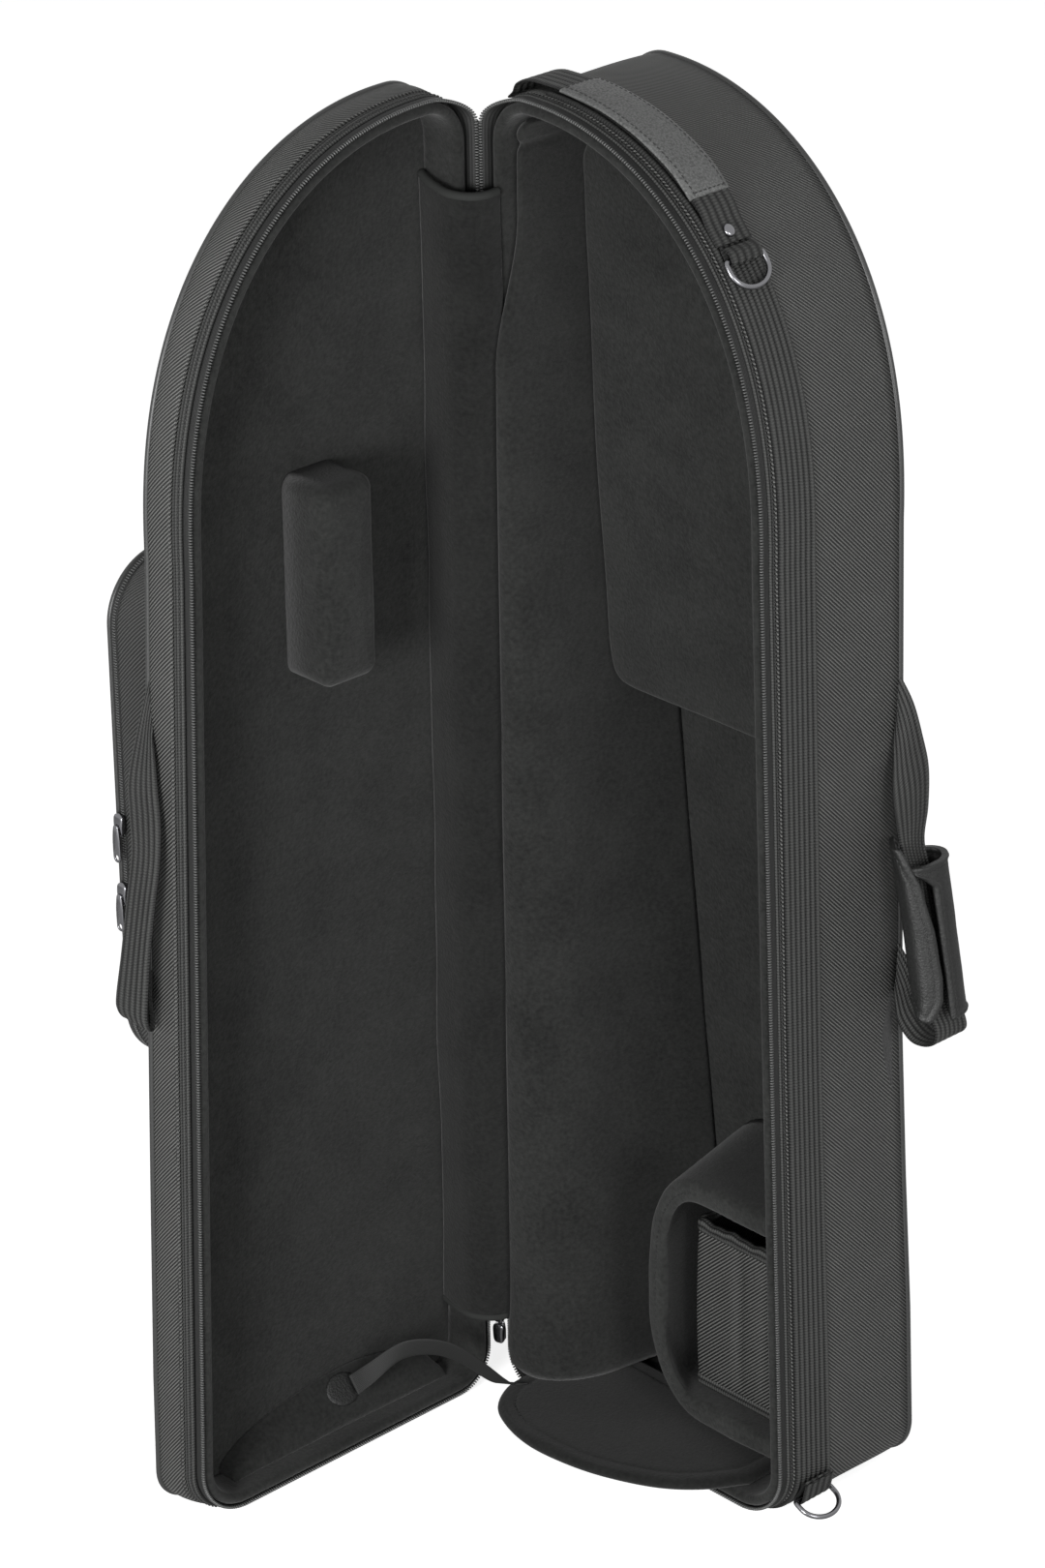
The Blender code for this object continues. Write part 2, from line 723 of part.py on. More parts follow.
def lid_floor_pad():
    """A crowned pad on the lid's floor, low near the zip and arched where it meets the back."""
    floor = INNER + FIT
    rings = []
    for s in np.linspace(FLOOR_PAD_FRONT, lid_face(), 4):
        ring = [on_lid(FLOOR_PAD_LEFT, s, floor), on_lid(FLOOR_PAD_RIGHT, s, floor)]
        for share in np.linspace(1, 0, 13):
            u = FLOOR_PAD_LEFT + (FLOOR_PAD_RIGHT - FLOOR_PAD_LEFT) * share
            ring.append(on_lid(u, s, pad_height(share, s)))
        rings.append(ring)
    return bevelled(loft("lid_floor_pad", rings, velour), 0.0015, 1)


def ribbon_patch():
    """The small oval patch that holds the ribbon's end on the lid's floor pad."""
    rings = []
    for lift in (2 * FIT, 2 * FIT + PATCH_THICKNESS):
        ring = []
        for a in np.linspace(0, 2 * math.pi, 20, endpoint=False):
            u = PATCH_U + PATCH_LONG * math.cos(a)
            s = PATCH_S + PATCH_SHORT * math.sin(a)
            ring.append(on_lid(u, s, pad_height(pad_share(u), s) + lift))
        rings.append(ring)
    return loft("ribbon_patch", rings, leather)


def pull_ribbon():
    """The flat ribbon from the patch, over the spine's foot, to the corner of the end flap."""
    start_u = PATCH_U - 0.4 * PATCH_LONG
    pad_top = pad_height(pad_share(start_u), PATCH_S)
    flap_top = INNER + FIT + FLAP_THICKNESS + 0.002
    route = [
        on_lid(start_u, PATCH_S, pad_top) + Vector((0.0045, 0, 0.0035)), (-0.0155, -0.108, pad_top + 0.009),
        (-0.0045, -0.086, 0.058), (0.009, -0.064, 0.056), (0.0205, -0.046, 0.042),
        (0.032, -0.029, flap_top + 0.0015), (0.040, -0.0195, flap_top),
    ]
    across = [
        (-0.64, 0.0, 0.77), (-0.5, 0.2, 0.8), (0.1, 0.2, 0.97), (0.5, 0.3, 0.8),
        (0.8, 0.5, 0.3), (0.8, 0.6, 0.0), (0.8, 0.6, 0.0),
    ]
    half_width = RIBBON_WIDTH / 2
    rows = [[], []]
    for middle, side in zip(smooth(route, 3), smooth(across, 3)):
        step = Vector(side).normalized() * half_width
        rows[0].append(Vector(middle) - step)
        rows[1].append(Vector(middle) + step)
    return ribbon("pull_ribbon", rows, RIBBON_THICKNESS, cord)


# Spine

def spine_lining():
    """The padded panel over the hinge inside, bowed towards the open case."""
    route = smooth(
        [(-0.0315, -0.0208), (-0.016, -0.0242), (-0.002, -0.0245), (0.010, -0.0185), (0.0156, -0.0095)], 3
    )
    rows = []
    for z in (SPINE_LINING_FOOT, (SPINE_LINING_FOOT + SPINE_LINING_TOP) / 2, SPINE_LINING_TOP):
        rows.append([Vector((q[0], q[1], z)) for q in route])
    return ribbon("spine_lining", rows, SPINE_LINING_THICKNESS, velour)


def spine_strip():
    """The strip sewn over the hinge outside, from one half's gusset round to the other's."""
    side = HINGE_GAP - FIT - STRIP_THICKNESS / 2
    turn = side / 2
    route = [(-STRIP_REACH, -side), (-2 * side, -side), (-turn, -turn), (turn, turn), (side, 2 * side)]
    route.append((side, STRIP_REACH))
    rows = []
    for z in (STRIP_FOOT, STRIP_TOP):
        rows.append([Vector((x, y, z)) for x, y in route])
    return ribbon("spine_strip", rows, STRIP_THICKNESS, twill)


# Pocket on the lid

def pocket_outline():
    r = POCKET_RADIUS
    return (
        arc((POCKET_LEFT + r, POCKET_FOOT + r), r, 180, 270)
        + arc((POCKET_RIGHT - r, POCKET_FOOT + r), r, 270, 360)
        + arc((POCKET_RIGHT - r, POCKET_TOP - r), r, 0, 90)
        + arc((POCKET_LEFT + r, POCKET_TOP - r), r, 90, 180)
    )


def pocket_zip_end():
    return LID_DEPTH + 2 * FIT + POCKET_WALL_DEPTH + POCKET_ZIP


def pocket():
    """A box pocket: its wall, the zip round its edge and the front panel that opens."""
    outline = pocket_outline()
    start = LID_DEPTH + FIT
    end = start + POCKET_WALL_DEPTH
    body = wall("pocket_gusset", on_lid, outline, (start, end), (0, POCKET_WALL), twill)
    zipper = wall("pocket_zip", on_lid, outline, (end + FIT, end + POCKET_ZIP), (FIT, POCKET_WALL), cord)
    face = pocket_zip_end() + FIT
    bead = POCKET_PIPING
    panel = lid_slab("pocket_panel", inset(outline, 2 * bead + FIT), (face, face + POCKET_PANEL), twill)
    ring = [on_lid(u, face + bead, z) for u, z in inset(outline, bead)]
    piping = tube("pocket_piping", ring, bead, cord, closed=True)
    return [body, zipper], [panel, piping]


# Zip sliders and pulls

def slider_body(name, centre, along, out):
    """A zip slider, waisted towards its mouth, with a low bridge on its back."""
    along = Vector(along).normalized()
    out = Vector(out).normalized()
    side = along.cross(out)
    rings = []
    for step, wide in ((-0.5, 0.36), (-0.2, 0.47), (0.2, 0.5), (0.5, 0.43)):
        ring = []
        for a, b in ((-1, 0), (1, 0), (1, 0.75), (0.55, 1), (-0.55, 1), (-1, 0.75)):
            across = side * (a * wide * SLIDER_WIDTH)
            ring.append(Vector(centre) + along * (step * SLIDER_LENGTH) + across + out * (b * SLIDER_THICKNESS))
        rings.append(ring)
    return loft(name, rings, metal)


def pull_tab(name, pivot, out, length):
    """A zip pull: a flat tab with a hole near its foot, hanging from its pivot."""
    down = Vector((0, 0, -1))
    out = Vector(out).normalized()
    side = down.cross(out)
    half = PULL_WIDTH / 2
    outline = [(-0.6 * half, 0), (0.6 * half, 0), (half, 0.35 * length)]
    for a in np.radians(np.linspace(0, 180, 7)):
        outline.append((half * math.cos(a), length - half + half * math.sin(a)))
    outline.append((-half, 0.35 * length))
    rings = []
    for lift in (0, PULL_THICKNESS):
        rings.append([Vector(pivot) + side * a + down * b + out * lift for a, b in outline])
    tab = loft(name, rings, metal)
    centre = Vector(pivot) + down * (length - half)
    ends = [centre - out * PULL_THICKNESS, centre + out * 2 * PULL_THICKNESS]
    hole = tube(name + "_hole", ends, 0.5 * half, metal, resolution=2)
    difference(tab, cutter(as_mesh(hole)))
    return tab


def zip_runner(name, centre, out, length, rise):
    """A slider on an upright zip and its hanging pull, pivoted above the slider's middle by rise."""
    out = Vector(out).normalized()
    body = slider_body(name + "_slider", centre, (0, 0, 1), out)
    pivot = Vector(centre) + out * (SLIDER_THICKNESS + FIT) + Vector((0, 0, rise))
    tab = pull_tab(name + "_pull", pivot, out, length)
    return body, tab, pivot


def as_mesh(obj):
    """Replaces a curve object by the mesh that it evaluates to, with its caps welded on."""
    bpy.context.view_layer.update()
    graph = bpy.context.evaluated_depsgraph_get()
    mesh = bpy.data.meshes.new_from_object(obj.evaluated_get(graph))
    bm = bmesh.new()
    bm.from_mesh(mesh)
    bmesh.ops.remove_doubles(bm, verts=bm.verts, dist=1e-6)
    bmesh.ops.recalc_face_normals(bm, faces=bm.faces)
    bm.to_mesh(mesh)
    bm.free()
    name = obj.name
    place = obj.matrix_world.copy()
    bpy.data.objects.remove(obj, do_unlink=True)
    made = bpy.data.objects.new(name, mesh)
    CASE.objects.link(made)
    made.parent = STAND
    made.matrix_world = place
    return made


# Handles and rings

def strap(name, route, across, widths, thickness, finish):
    """Webbing along a route, whose width may change on the way."""
    rows = [[], []]
    side = Vector(across).normalized()
    for i, place in enumerate(route):
        half = (widths[i] if isinstance(widths, list) else widths) / 2
        rows[0].append(Vector(place) - side * half)
        rows[1].append(Vector(place) + side * half)
    return ribbon(name, rows, thickness, finish)


def side_handle(name, half, edge, bulge, top, foot):
    """A drooping webbing loop sewn by narrowed ends into the seam at a half's outer free edge.

    half places a point, edge is the depth of the loop's middle, bulge its reach, and top and foot
    its highest and lowest points. The widths are shares of the webbing's own.
    """
    seat = FIT + WEBBING_THICKNESS / 2
    points = [
        (seat, top, 0.3), (seat + 0.0015, top - 0.016, 0.8), (0.24 * bulge, top - 0.045, 1),
        (0.38 * bulge, top - 0.085, 1), (0.58 * bulge, top - 0.130, 1), (0.84 * bulge, foot + 0.060, 1),
        (bulge, foot + 0.028, 1), (0.9 * bulge, foot + 0.008, 1), (0.62 * bulge, foot, 1),
        (0.30 * bulge, foot + 0.010, 0.9), (seat + 0.001, foot + 0.032, 0.6), (seat, foot + 0.044, 0.4),
    ]
    route = []
    widths = []
    for reach, z, share in smooth(points, 2):
        route.append(half(width_at(z) + reach, edge, z))
        widths.append(min(share, 1.0) * WEBBING_WIDTH)
    return strap(name, route, half(0, 1, 0), widths, WEBBING_THICKNESS, webbing)


def grip_axis(share):
    """A point on the grip's centre line, from its foot at 0 to its top at 1."""
    z = GRIP_FOOT + share * (GRIP_TOP - GRIP_FOOT)
    reach = GRIP_REACH_FOOT + share * (GRIP_REACH_TOP - GRIP_REACH_FOOT)
    return on_base(width_at(z) + reach, HANDLE_EDGE, z)


def grip_sheet(name, start, end, steps):
    """A curved leather sheet round the webbing, between two angles counted from +X."""
    rows = []
    for share in (0.0, 0.5, 1.0):
        centre = grip_axis(share)
        row = []
        for a in np.radians(np.linspace(start, end, steps + 1)):
            row.append(centre + Vector((GRIP_DEEP * math.cos(a), GRIP_WIDE * math.sin(a), 0)))
        rows.append(row)
    return ribbon(name, rows, GRIP_THICKNESS, leather)


def dome_height(u):
    share = max(0.0, min(1.0, (u - DOME_PEAK_U) / (SHOULDER_WIDTH - DOME_PEAK_U)))
    return SHOULDER_HEIGHT + (HEIGHT - SHOULDER_HEIGHT) * (1 - share**DOME_POWER_ACROSS) ** (1 / DOME_POWER_UP)


def off_dome(u, lift):
    """A point (u, z) at a distance square to the dome."""
    step = 1e-4
    slope = (dome_height(u + step) - dome_height(u - step)) / (2 * step)
    size = math.hypot(1, slope)
    return (u - lift * slope / size, dome_height(u) + lift / size)


def top_handle():
    """Webbing over the dome, free of it between its two sewn ends, in a stitched leather sleeve."""
    seat = 2 * FIT + WEBBING_THICKNESS * 1.5
    corner = (HINGE_GAP + SPINE_TOP_RADIUS, HEIGHT - SPINE_TOP_RADIUS)
    out = SPINE_TOP_RADIUS + seat
    sewn = [(corner[0] + out * math.cos(a), corner[1] + out * math.sin(a)) for a in np.radians((158, 146))]
    span = RIVET_U - corner[0]
    arch = [off_dome(corner[0] + share * span, HANDLE_LIFT) for share in (0.0, 0.2, 0.39, 0.58, 0.76)]
    landing = [off_dome(corner[0] + 0.9 * span, 0.7 * HANDLE_LIFT)]
    landing += [off_dome(RIVET_U - 0.004, seat + 2 * FIT), off_dome(RIVET_U + 0.005, seat)]
    rise = [(corner[0] - 0.91 * SPINE_TOP_RADIUS, HEIGHT + 0.1 * HANDLE_LIFT)]
    rise.append((corner[0] - 0.54 * SPINE_TOP_RADIUS, HEIGHT + 0.8 * HANDLE_LIFT))
    route = smooth(sewn + rise + arch + landing, 3)
    middle = BAND_START + WEBBING_WIDTH / 2
    place = [on_base(u, middle, z) for u, z in route]
    across = (0, 1, 0)
    strap("top_handle_webbing", place, across, TOP_HANDLE_WIDTH, WEBBING_THICKNESS, webbing)
    covered = [q for q in place if SLEEVE_START_U < q.x < SLEEVE_END_U]
    sleeve = strap("top_handle_sleeve", covered, across, SLEEVE_WIDTH, SLEEVE_THICKNESS, leather)
    longer = [q for q in place if SLEEVE_START_U - 0.02 < q.x < SLEEVE_END_U + 0.012]
    bore = WEBBING_THICKNESS + 2 * FIT
    room = strap("sleeve_room", longer, across, TOP_HANDLE_WIDTH + 2 * FIT, bore, leather)
    difference(sleeve, cutter(room))
    surface = seat + WEBBING_THICKNESS / 2 + 2 * FIT
    ends = []
    for lift in (surface, surface + RIVET_HEIGHT):
        u, z = off_dome(RIVET_U, lift)
        ends.append(on_base(u, middle, z))
    tube("handle_rivet", ends, RIVET_RADIUS, metal, resolution=2)


def d_ring(name, pivot, down):
    """A D-ring: a straight bar along Y at its pivot and a half round below it."""
    down = Vector(down).normalized()
    across = Vector((0, 1, 0))
    points = [pivot + across * RING_RADIUS, pivot + across * RING_RADIUS + down * RING_DROP]
    for a in np.radians(np.linspace(0, 180, 11)[1:-1]):
        deep = RING_DROP + (RING_RADIUS - 0.003) * math.sin(a)
        points.append(pivot + across * (RING_RADIUS * math.cos(a)) + down * deep)
    points += [pivot - across * RING_RADIUS + down * RING_DROP, pivot - across * RING_RADIUS]
    return tube(name, points, RING_WIRE, metal, closed=True, resolution=1)


def ring_tab(name, pivot, back, out, reach):
    """A strap folded round the bar of a D-ring, its two layers sewn together behind it."""
    back = Vector(back).normalized()
    out = Vector(out).normalized()
    bend = RING_WIRE + FIT + TAB_THICKNESS / 2
    route = [pivot + back * reach - out * bend, pivot + back * 0.004 - out * bend]
    for a in np.radians(np.linspace(-90, 90, 7)):
        route.append(pivot - back * (bend * math.cos(a)) + out * (bend * math.sin(a)))
    top = TAB_THICKNESS + FIT - bend
    route += [pivot + back * 0.004 + out * bend, pivot + back * reach + out * top]
    return strap(name, route, (0, 1, 0), TAB_WIDTH, TAB_THICKNESS, webbing)


def ring_lift():
    """Height of a D-ring's bar off the wall: the band and the tab's lower layer lie under it."""
    return FIT + WEBBING_THICKNESS + FIT + TAB_THICKNESS + FIT + RING_WIRE


def top_ring():
    bar_u = RIVET_U + TOP_RING_STEP
    place_u, place_z = off_dome(bar_u, ring_lift())
    ahead_u, ahead_z = off_dome(bar_u + 0.006, ring_lift())
    middle = BAND_START + WEBBING_WIDTH / 2
    pivot = on_base(place_u, middle, place_z)
    down = (on_base(ahead_u, middle, ahead_z) - pivot).normalized()
    out = Vector((-down.z, 0, down.x))
    ring_tab("top_ring_tab", pivot, -down, out, TOP_TAB_REACH)
    return d_ring("top_d_ring", pivot, down), pivot


def foot_ring():
    angle = math.radians(FOOT_RING_ANGLE)
    out = Vector((math.cos(angle), 0, math.sin(angle)))
    middle = BAND_START + WEBBING_WIDTH / 2
    centre = on_base(FOOT_WIDTH - FREE_FOOT_RADIUS, middle, FREE_FOOT_RADIUS)
    pivot = centre + out * (FREE_FOOT_RADIUS + ring_lift())
    back = Vector((-out.z, 0, out.x))
    ring_tab("foot_ring_tab", pivot, back, out, FOOT_TAB_REACH)
    return d_ring("foot_d_ring", pivot, FOOT_RING_DOWN), pivot


# Joints

def carry(name, place, objects, on=None):
    """An empty on a joint's axis that carries finished pieces without moving them."""
    empty = bpy.data.objects.new(name, None)
    CASE.objects.link(empty)
    empty.parent = on or STAND
    base = Vector(on["place"]) if on else Vector((0, 0, 0))
    place = Vector(place)
    empty["place"] = place
    empty.location = place - base
    for obj in objects:
        obj.parent = empty
        obj.location = obj.location - place
    print("joint", name, [round(value, 5) for value in place])
    return empty


def centre_on_footprint():
    """Moves the stand so that the origin is under the middle of the case, on the floor."""
    bpy.context.view_layer.update()
    graph = bpy.context.evaluated_depsgraph_get()
    corners = []
    for obj in CASE.objects:
        if obj.type == "EMPTY":
            continue
        seen = obj.evaluated_get(graph)
        mesh = seen.to_mesh()
        corners += [seen.matrix_world @ v.co for v in mesh.vertices]
        seen.to_mesh_clear()
    points = np.array(corners)
    low = points.min(axis=0)
    high = points.max(axis=0)
    STAND.location = (-(low[0] + high[0]) / 2, -(low[1] + high[1]) / 2, -low[2])
    print("size", [round(value, 5) for value in high - low])
    print("hinge axis at", [round(value, 5) for value in STAND.location])


def build_base():
    shell_of("base", on_base, BASE_DEPTH, BASE_FACING_DEPTH, base_slab)
    base_band()
    slide_partition()
    bell_pad()
    accessory_collar()
    top_handle()
    carry("flap_slide", (0, 0, 0), [end_flap()])
    carry("pouch_slide", (0, 0, 0), pouch())
    ring, pivot = top_ring()
    carry("top_ring_hinge", pivot, [ring])
    ring, pivot = foot_ring()
    carry("foot_ring_hinge", pivot, [ring])
    span = (BASE_HANDLE_TOP, BASE_HANDLE_FOOT)
    handle = side_handle("base_handle", on_base, HANDLE_EDGE, BASE_HANDLE_REACH, *span)
    grip = grip_sheet("grip_wrap", GRIP_START, GRIP_END, 12)
    seam = on_base(width_at(BASE_HANDLE_FOOT) + SEAM, BASE_DEPTH + SEAM, BASE_HANDLE_FOOT)
    hanger = carry("base_handle_hinge", seam, [handle, grip])
    flap = grip_sheet("grip_flap", FLAP_START, FLAP_END, 5)
    edge = math.radians(FLAP_START - 3)
    lip = grip_axis(0) + Vector((GRIP_DEEP * math.cos(edge), GRIP_WIDE * math.sin(edge), 0))
    carry("grip_flap_hinge", lip, [flap], hanger)
    angle = math.radians(MAIN_SLIDER_ANGLE)
    out = Vector((math.cos(angle), math.sin(angle), 0))
    for name, z in (("lower_main", MAIN_SLIDER_Z), ("upper_main", MAIN_SLIDER_Z + SLIDER_LENGTH + 2 * FIT)):
        place = Vector((0, 0, z)) - out * (SLIDER_THICKNESS / 2)
        tab, pivot = zip_runner(name, place, out, MAIN_PULL_LENGTH, SLIDER_LENGTH / 2)[1:]
        carry(name + "_pull_hinge", pivot, [tab])


def build_lid():
    made_before = set(CASE.objects)
    shell_of("lid", on_lid, LID_DEPTH, LID_FACING_DEPTH, lid_slab)
    lid_block()
    lid_floor_pad()
    ribbon_patch()
    fixed, opening = pocket()
    moving = list(opening)
    span = (LID_HANDLE_TOP, LID_HANDLE_FOOT)
    handle = side_handle("lid_handle", on_lid, LID_DEPTH + SEAM, LID_HANDLE_REACH, *span)
    moving.append(handle)
    out = Vector((0, -1, 0))
    runners = []
    for name, z in (("upper_pocket", POCKET_SLIDER_HIGH), ("lower_pocket", POCKET_SLIDER_LOW)):
        centre = on_lid(POCKET_RIGHT + FIT, pocket_zip_end() - POCKET_ZIP / 2, z)
        body, tab, pivot = zip_runner(name, centre, out, POCKET_PULL_LENGTH, 0)
        moving += [body, tab]
        runners.append((name, body, tab, centre, pivot))
    static = [obj for obj in CASE.objects if obj not in made_before and obj not in moving]
    hinge = carry("lid_hinge", (0, 0, 0), static)
    carry("pocket_hinge", on_lid(POCKET_LEFT, pocket_zip_end(), POCKET_FOOT), opening, hinge)
    seam = on_lid(width_at(LID_HANDLE_FOOT) + SEAM, LID_DEPTH + SEAM, LID_HANDLE_FOOT)
    carry("lid_handle_hinge", seam, [handle], hinge)
    for name, body, tab, centre, pivot in runners:
        slide = carry(name + "_slide", centre, [body], hinge)
        carry(name + "_pull_hinge", pivot, [tab], slide)


def build():
    build_base()
    build_lid()
    pull_ribbon()
    spine_lining()
    spine_strip()
    centre_on_footprint()


build()
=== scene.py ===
# %% [markdown]
# # An open trombone case, dressed
# The solids of the case are already built, packed and hinged. This lesson gives each of them the
# skin that the real case shows: twill cloth, velour padding, ribbed webbing, leather, zips, piping
# and stitches. The solids stay in place for the physics, so every new skin is worked out from the
# same outline and the same depths as the solid under it.

# %% Load the frame
import json
import math

import bpy
import numpy as np
from mathutils import Matrix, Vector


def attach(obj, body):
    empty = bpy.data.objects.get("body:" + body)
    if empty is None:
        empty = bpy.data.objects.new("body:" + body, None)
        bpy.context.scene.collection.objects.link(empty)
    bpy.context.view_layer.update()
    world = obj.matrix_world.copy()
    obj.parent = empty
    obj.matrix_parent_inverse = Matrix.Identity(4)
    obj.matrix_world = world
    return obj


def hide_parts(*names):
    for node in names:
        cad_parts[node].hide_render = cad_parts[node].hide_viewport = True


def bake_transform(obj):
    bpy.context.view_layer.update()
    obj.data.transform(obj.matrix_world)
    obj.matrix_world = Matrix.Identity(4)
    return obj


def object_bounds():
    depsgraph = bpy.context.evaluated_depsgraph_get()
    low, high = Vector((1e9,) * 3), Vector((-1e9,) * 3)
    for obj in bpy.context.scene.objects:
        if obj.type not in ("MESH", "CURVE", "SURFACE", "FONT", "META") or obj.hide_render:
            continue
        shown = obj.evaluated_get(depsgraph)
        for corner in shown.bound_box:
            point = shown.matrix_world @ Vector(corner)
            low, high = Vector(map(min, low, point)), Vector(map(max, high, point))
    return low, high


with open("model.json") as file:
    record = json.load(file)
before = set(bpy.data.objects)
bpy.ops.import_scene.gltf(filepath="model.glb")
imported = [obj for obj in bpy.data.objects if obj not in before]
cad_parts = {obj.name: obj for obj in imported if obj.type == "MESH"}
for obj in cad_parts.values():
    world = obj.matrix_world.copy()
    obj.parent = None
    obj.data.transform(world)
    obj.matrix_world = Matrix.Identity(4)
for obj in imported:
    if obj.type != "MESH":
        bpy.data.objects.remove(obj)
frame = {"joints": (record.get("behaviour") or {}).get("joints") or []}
cad_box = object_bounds()

# %% [markdown]
# ## The hinge frame
# Both halves fold about one upright line, the spine. A point of a half is (u, s, z): u across the
# half from the spine, s down into its depth from the zip, z up. The deep half lies along +X and the
# shallow lid along -Y, a quarter turn open. Writing each shape once in (u, s, z) and placing it by
# one of two functions keeps the halves alike.

# %% Place the hinge
joints = {j["name"]: j for j in frame["joints"]}
HINGE = np.array([*joints["lid_hinge"]["pos_m"][:2], 0.0])
UP = np.array([0.0, 0.0, 1.0])


def on_base(u, s, z):
    """(u, s, z) of the deep half as points: x = u, y = s."""
    return np.stack(np.broadcast_arrays(u, s, z), axis=-1).astype(float)


def on_lid(u, s, z):
    """(u, s, z) of the lid as points: x = -s, y = -u."""
    return np.stack(np.broadcast_arrays(-np.asarray(s), -np.asarray(u), z), axis=-1).astype(float)


def ease(x):
    """Smooth step: 0 below 0, 1 above 1, and 3x^2 - 2x^3 between."""
    x = np.clip(x, 0.0, 1.0)
    return x * x * (3 - 2 * x)


def at_height(q, z):
    """Flat points (x, y) as points at a height."""
    return np.concatenate([q, np.full((len(q), 1), z)], axis=1)


def hump(x, centre, width):
    """A bell curve: 1 at its centre, falling off over a width."""
    return np.exp(-((x - centre) / width) ** 2)


def unit(v):
    """Vectors brought to length one."""
    v = np.asarray(v, float)
    return v / np.maximum(np.linalg.norm(v, axis=-1, keepdims=True), 1e-12)


print("hinge at", HINGE.round(5))

# %% [markdown]
# ## The camera
# The view of the photograph: from in front of the open halves, a little above the top of the case,
# through a long lens. Its place was solved from the two rims and the floor line.

# %% Set the camera
EYE = (2.38374813, -2.21561837, 2.012524)
LOOK = (-0.6613304, 0.61468566, -0.42988794)
RIGHT = (0.68607776, 0.72736507, -0.01540681)
DOWN = (0.30321513, -0.30512554, -0.90275079)
FOCAL_PIXELS = 5585.9
PHOTO_HEIGHT = 1620
SENSOR_HEIGHT = 24.0
LENS_SHIFT_PIXELS = 33.7

lens = bpy.data.cameras.new("photo_lens")
lens.sensor_fit = "VERTICAL"
lens.sensor_height = SENSOR_HEIGHT
lens.lens = FOCAL_PIXELS * SENSOR_HEIGHT / PHOTO_HEIGHT
lens.shift_x = LENS_SHIFT_PIXELS / PHOTO_HEIGHT
camera = bpy.data.objects.new("photo_camera", lens)
bpy.context.scene.collection.objects.link(camera)
turn = np.eye(4)
turn[:3, 0] = RIGHT
turn[:3, 1] = -np.array(DOWN)
turn[:3, 2] = -np.array(LOOK)
turn[:3, 3] = np.array(EYE) + HINGE
camera.matrix_world = Matrix(turn)
bpy.context.scene.camera = camera
print("lens", round(lens.lens, 2), "mm, eye", turn[:3, 3].round(3))

# %% [markdown]
# ## A workshop for materials
# A finish is a shader with a few patterns in front of it. Two small classes keep the maths
# readable: a wire is a socket that can be added and multiplied like a number, and a recipe is a
# material that makes nodes. Patterns on cloth follow the UV map, which is measured in metres along
# and across each piece, so a weave keeps its real pitch and turns with the piece.

# %% Wires and recipes
class Wire:
    """A socket of a material that takes part in sums."""

    def __init__(self, recipe, socket):
        self.recipe = recipe
        self.socket = socket

    def maths(self, kind, *others):
        """A sum of this wire and other wires or numbers."""
        return self.recipe.node("ShaderNodeMath", {"operation": kind}, dict(enumerate((self, *others))))

    def __add__(self, other):
        return self.maths("ADD", other)

    def __radd__(self, other):
        return self.maths("ADD", other)

    def __sub__(self, other):
        return self.maths("SUBTRACT", other)

    def __rsub__(self, other):
        return self.recipe.node("ShaderNodeMath", {"operation": "SUBTRACT"}, {0: other, 1: self})

    def __mul__(self, other):
        return self.maths("MULTIPLY", other)

    def __rmul__(self, other):
        return self.maths("MULTIPLY", other)

    def __truediv__(self, other):
        return self.maths("DIVIDE", other)

    def __pow__(self, other):
        return self.maths("POWER", other)

    def wave(self, pitch):
        """0.5 + 0.5 sin(2 pi x / pitch)."""
        return (self * (2 * math.pi / pitch)).maths("SINE") * 0.5 + 0.5


class Recipe:
    """A material with one Principled shader and the nodes in front of it."""

    def __init__(self, name, colour, roughness, **constants):
        self.material = bpy.data.materials.new(name)
        self.material.use_nodes = True
        self.material.diffuse_color = (*colour, 1.0)
        self.tree = self.material.node_tree
        self.shader = self.tree.nodes["Principled BSDF"]
        self.shader.inputs["Base Color"].default_value = (*colour, 1.0)
        self.shader.inputs["Roughness"].default_value = roughness
        for key, value in constants.items():
            self.shader.inputs[key.replace("_", " ")].default_value = value

    def node(self, kind, settings=None, inputs=None, output=0):
        """Makes a node of any kind, sets it, and feeds its inputs with values or wires."""
        made = self.tree.nodes.new(kind)
        for key, value in (settings or {}).items():
            setattr(made, key, value)
        for key, value in (inputs or {}).items():
            if isinstance(value, Wire):
                self.tree.links.new(value.socket, made.inputs[key])
            else:
                made.inputs[key].default_value = value
        return Wire(self, made.outputs[output])

    def uv(self):
        """The metres along and across the piece."""
        where = self.node("ShaderNodeUVMap", {"uv_map": "UVMap"})
        return [self.node("ShaderNodeSeparateXYZ", {}, {0: where}, i) for i in (0, 1)]

    def noise(self, scale, detail=3.0):
        """Noise on Object coordinates, about 0.5 in the mean."""
        where = self.node("ShaderNodeTexCoord", {}, {}, "Object")
        turned = self.node("ShaderNodeMapping", {}, {"Vector": where})
        put = {"Vector": turned, "Scale": scale, "Detail": detail}
        return self.node("ShaderNodeTexNoise", {}, put, "Fac")

    def mix(self, share, first, second):
        """A colour between two colours."""
        put = {0: share, 6: (*first, 1), 7: (*second, 1)}
        return self.node("ShaderNodeMix", {"data_type": "RGBA"}, put, 2)

    def feed(self, socket, wire):
        """Leads a wire into an input of the shader."""
        self.tree.links.new(wire.socket, self.shader.inputs[socket])

    def bump(self, height, distance, strength=1.0):
        """Relief from a height, over a distance in metres."""
        put = {"Height": height, "Distance": distance, "Strength": strength}
        self.feed("Normal", self.node("ShaderNodeBump", {}, put))


print("recipes ready")
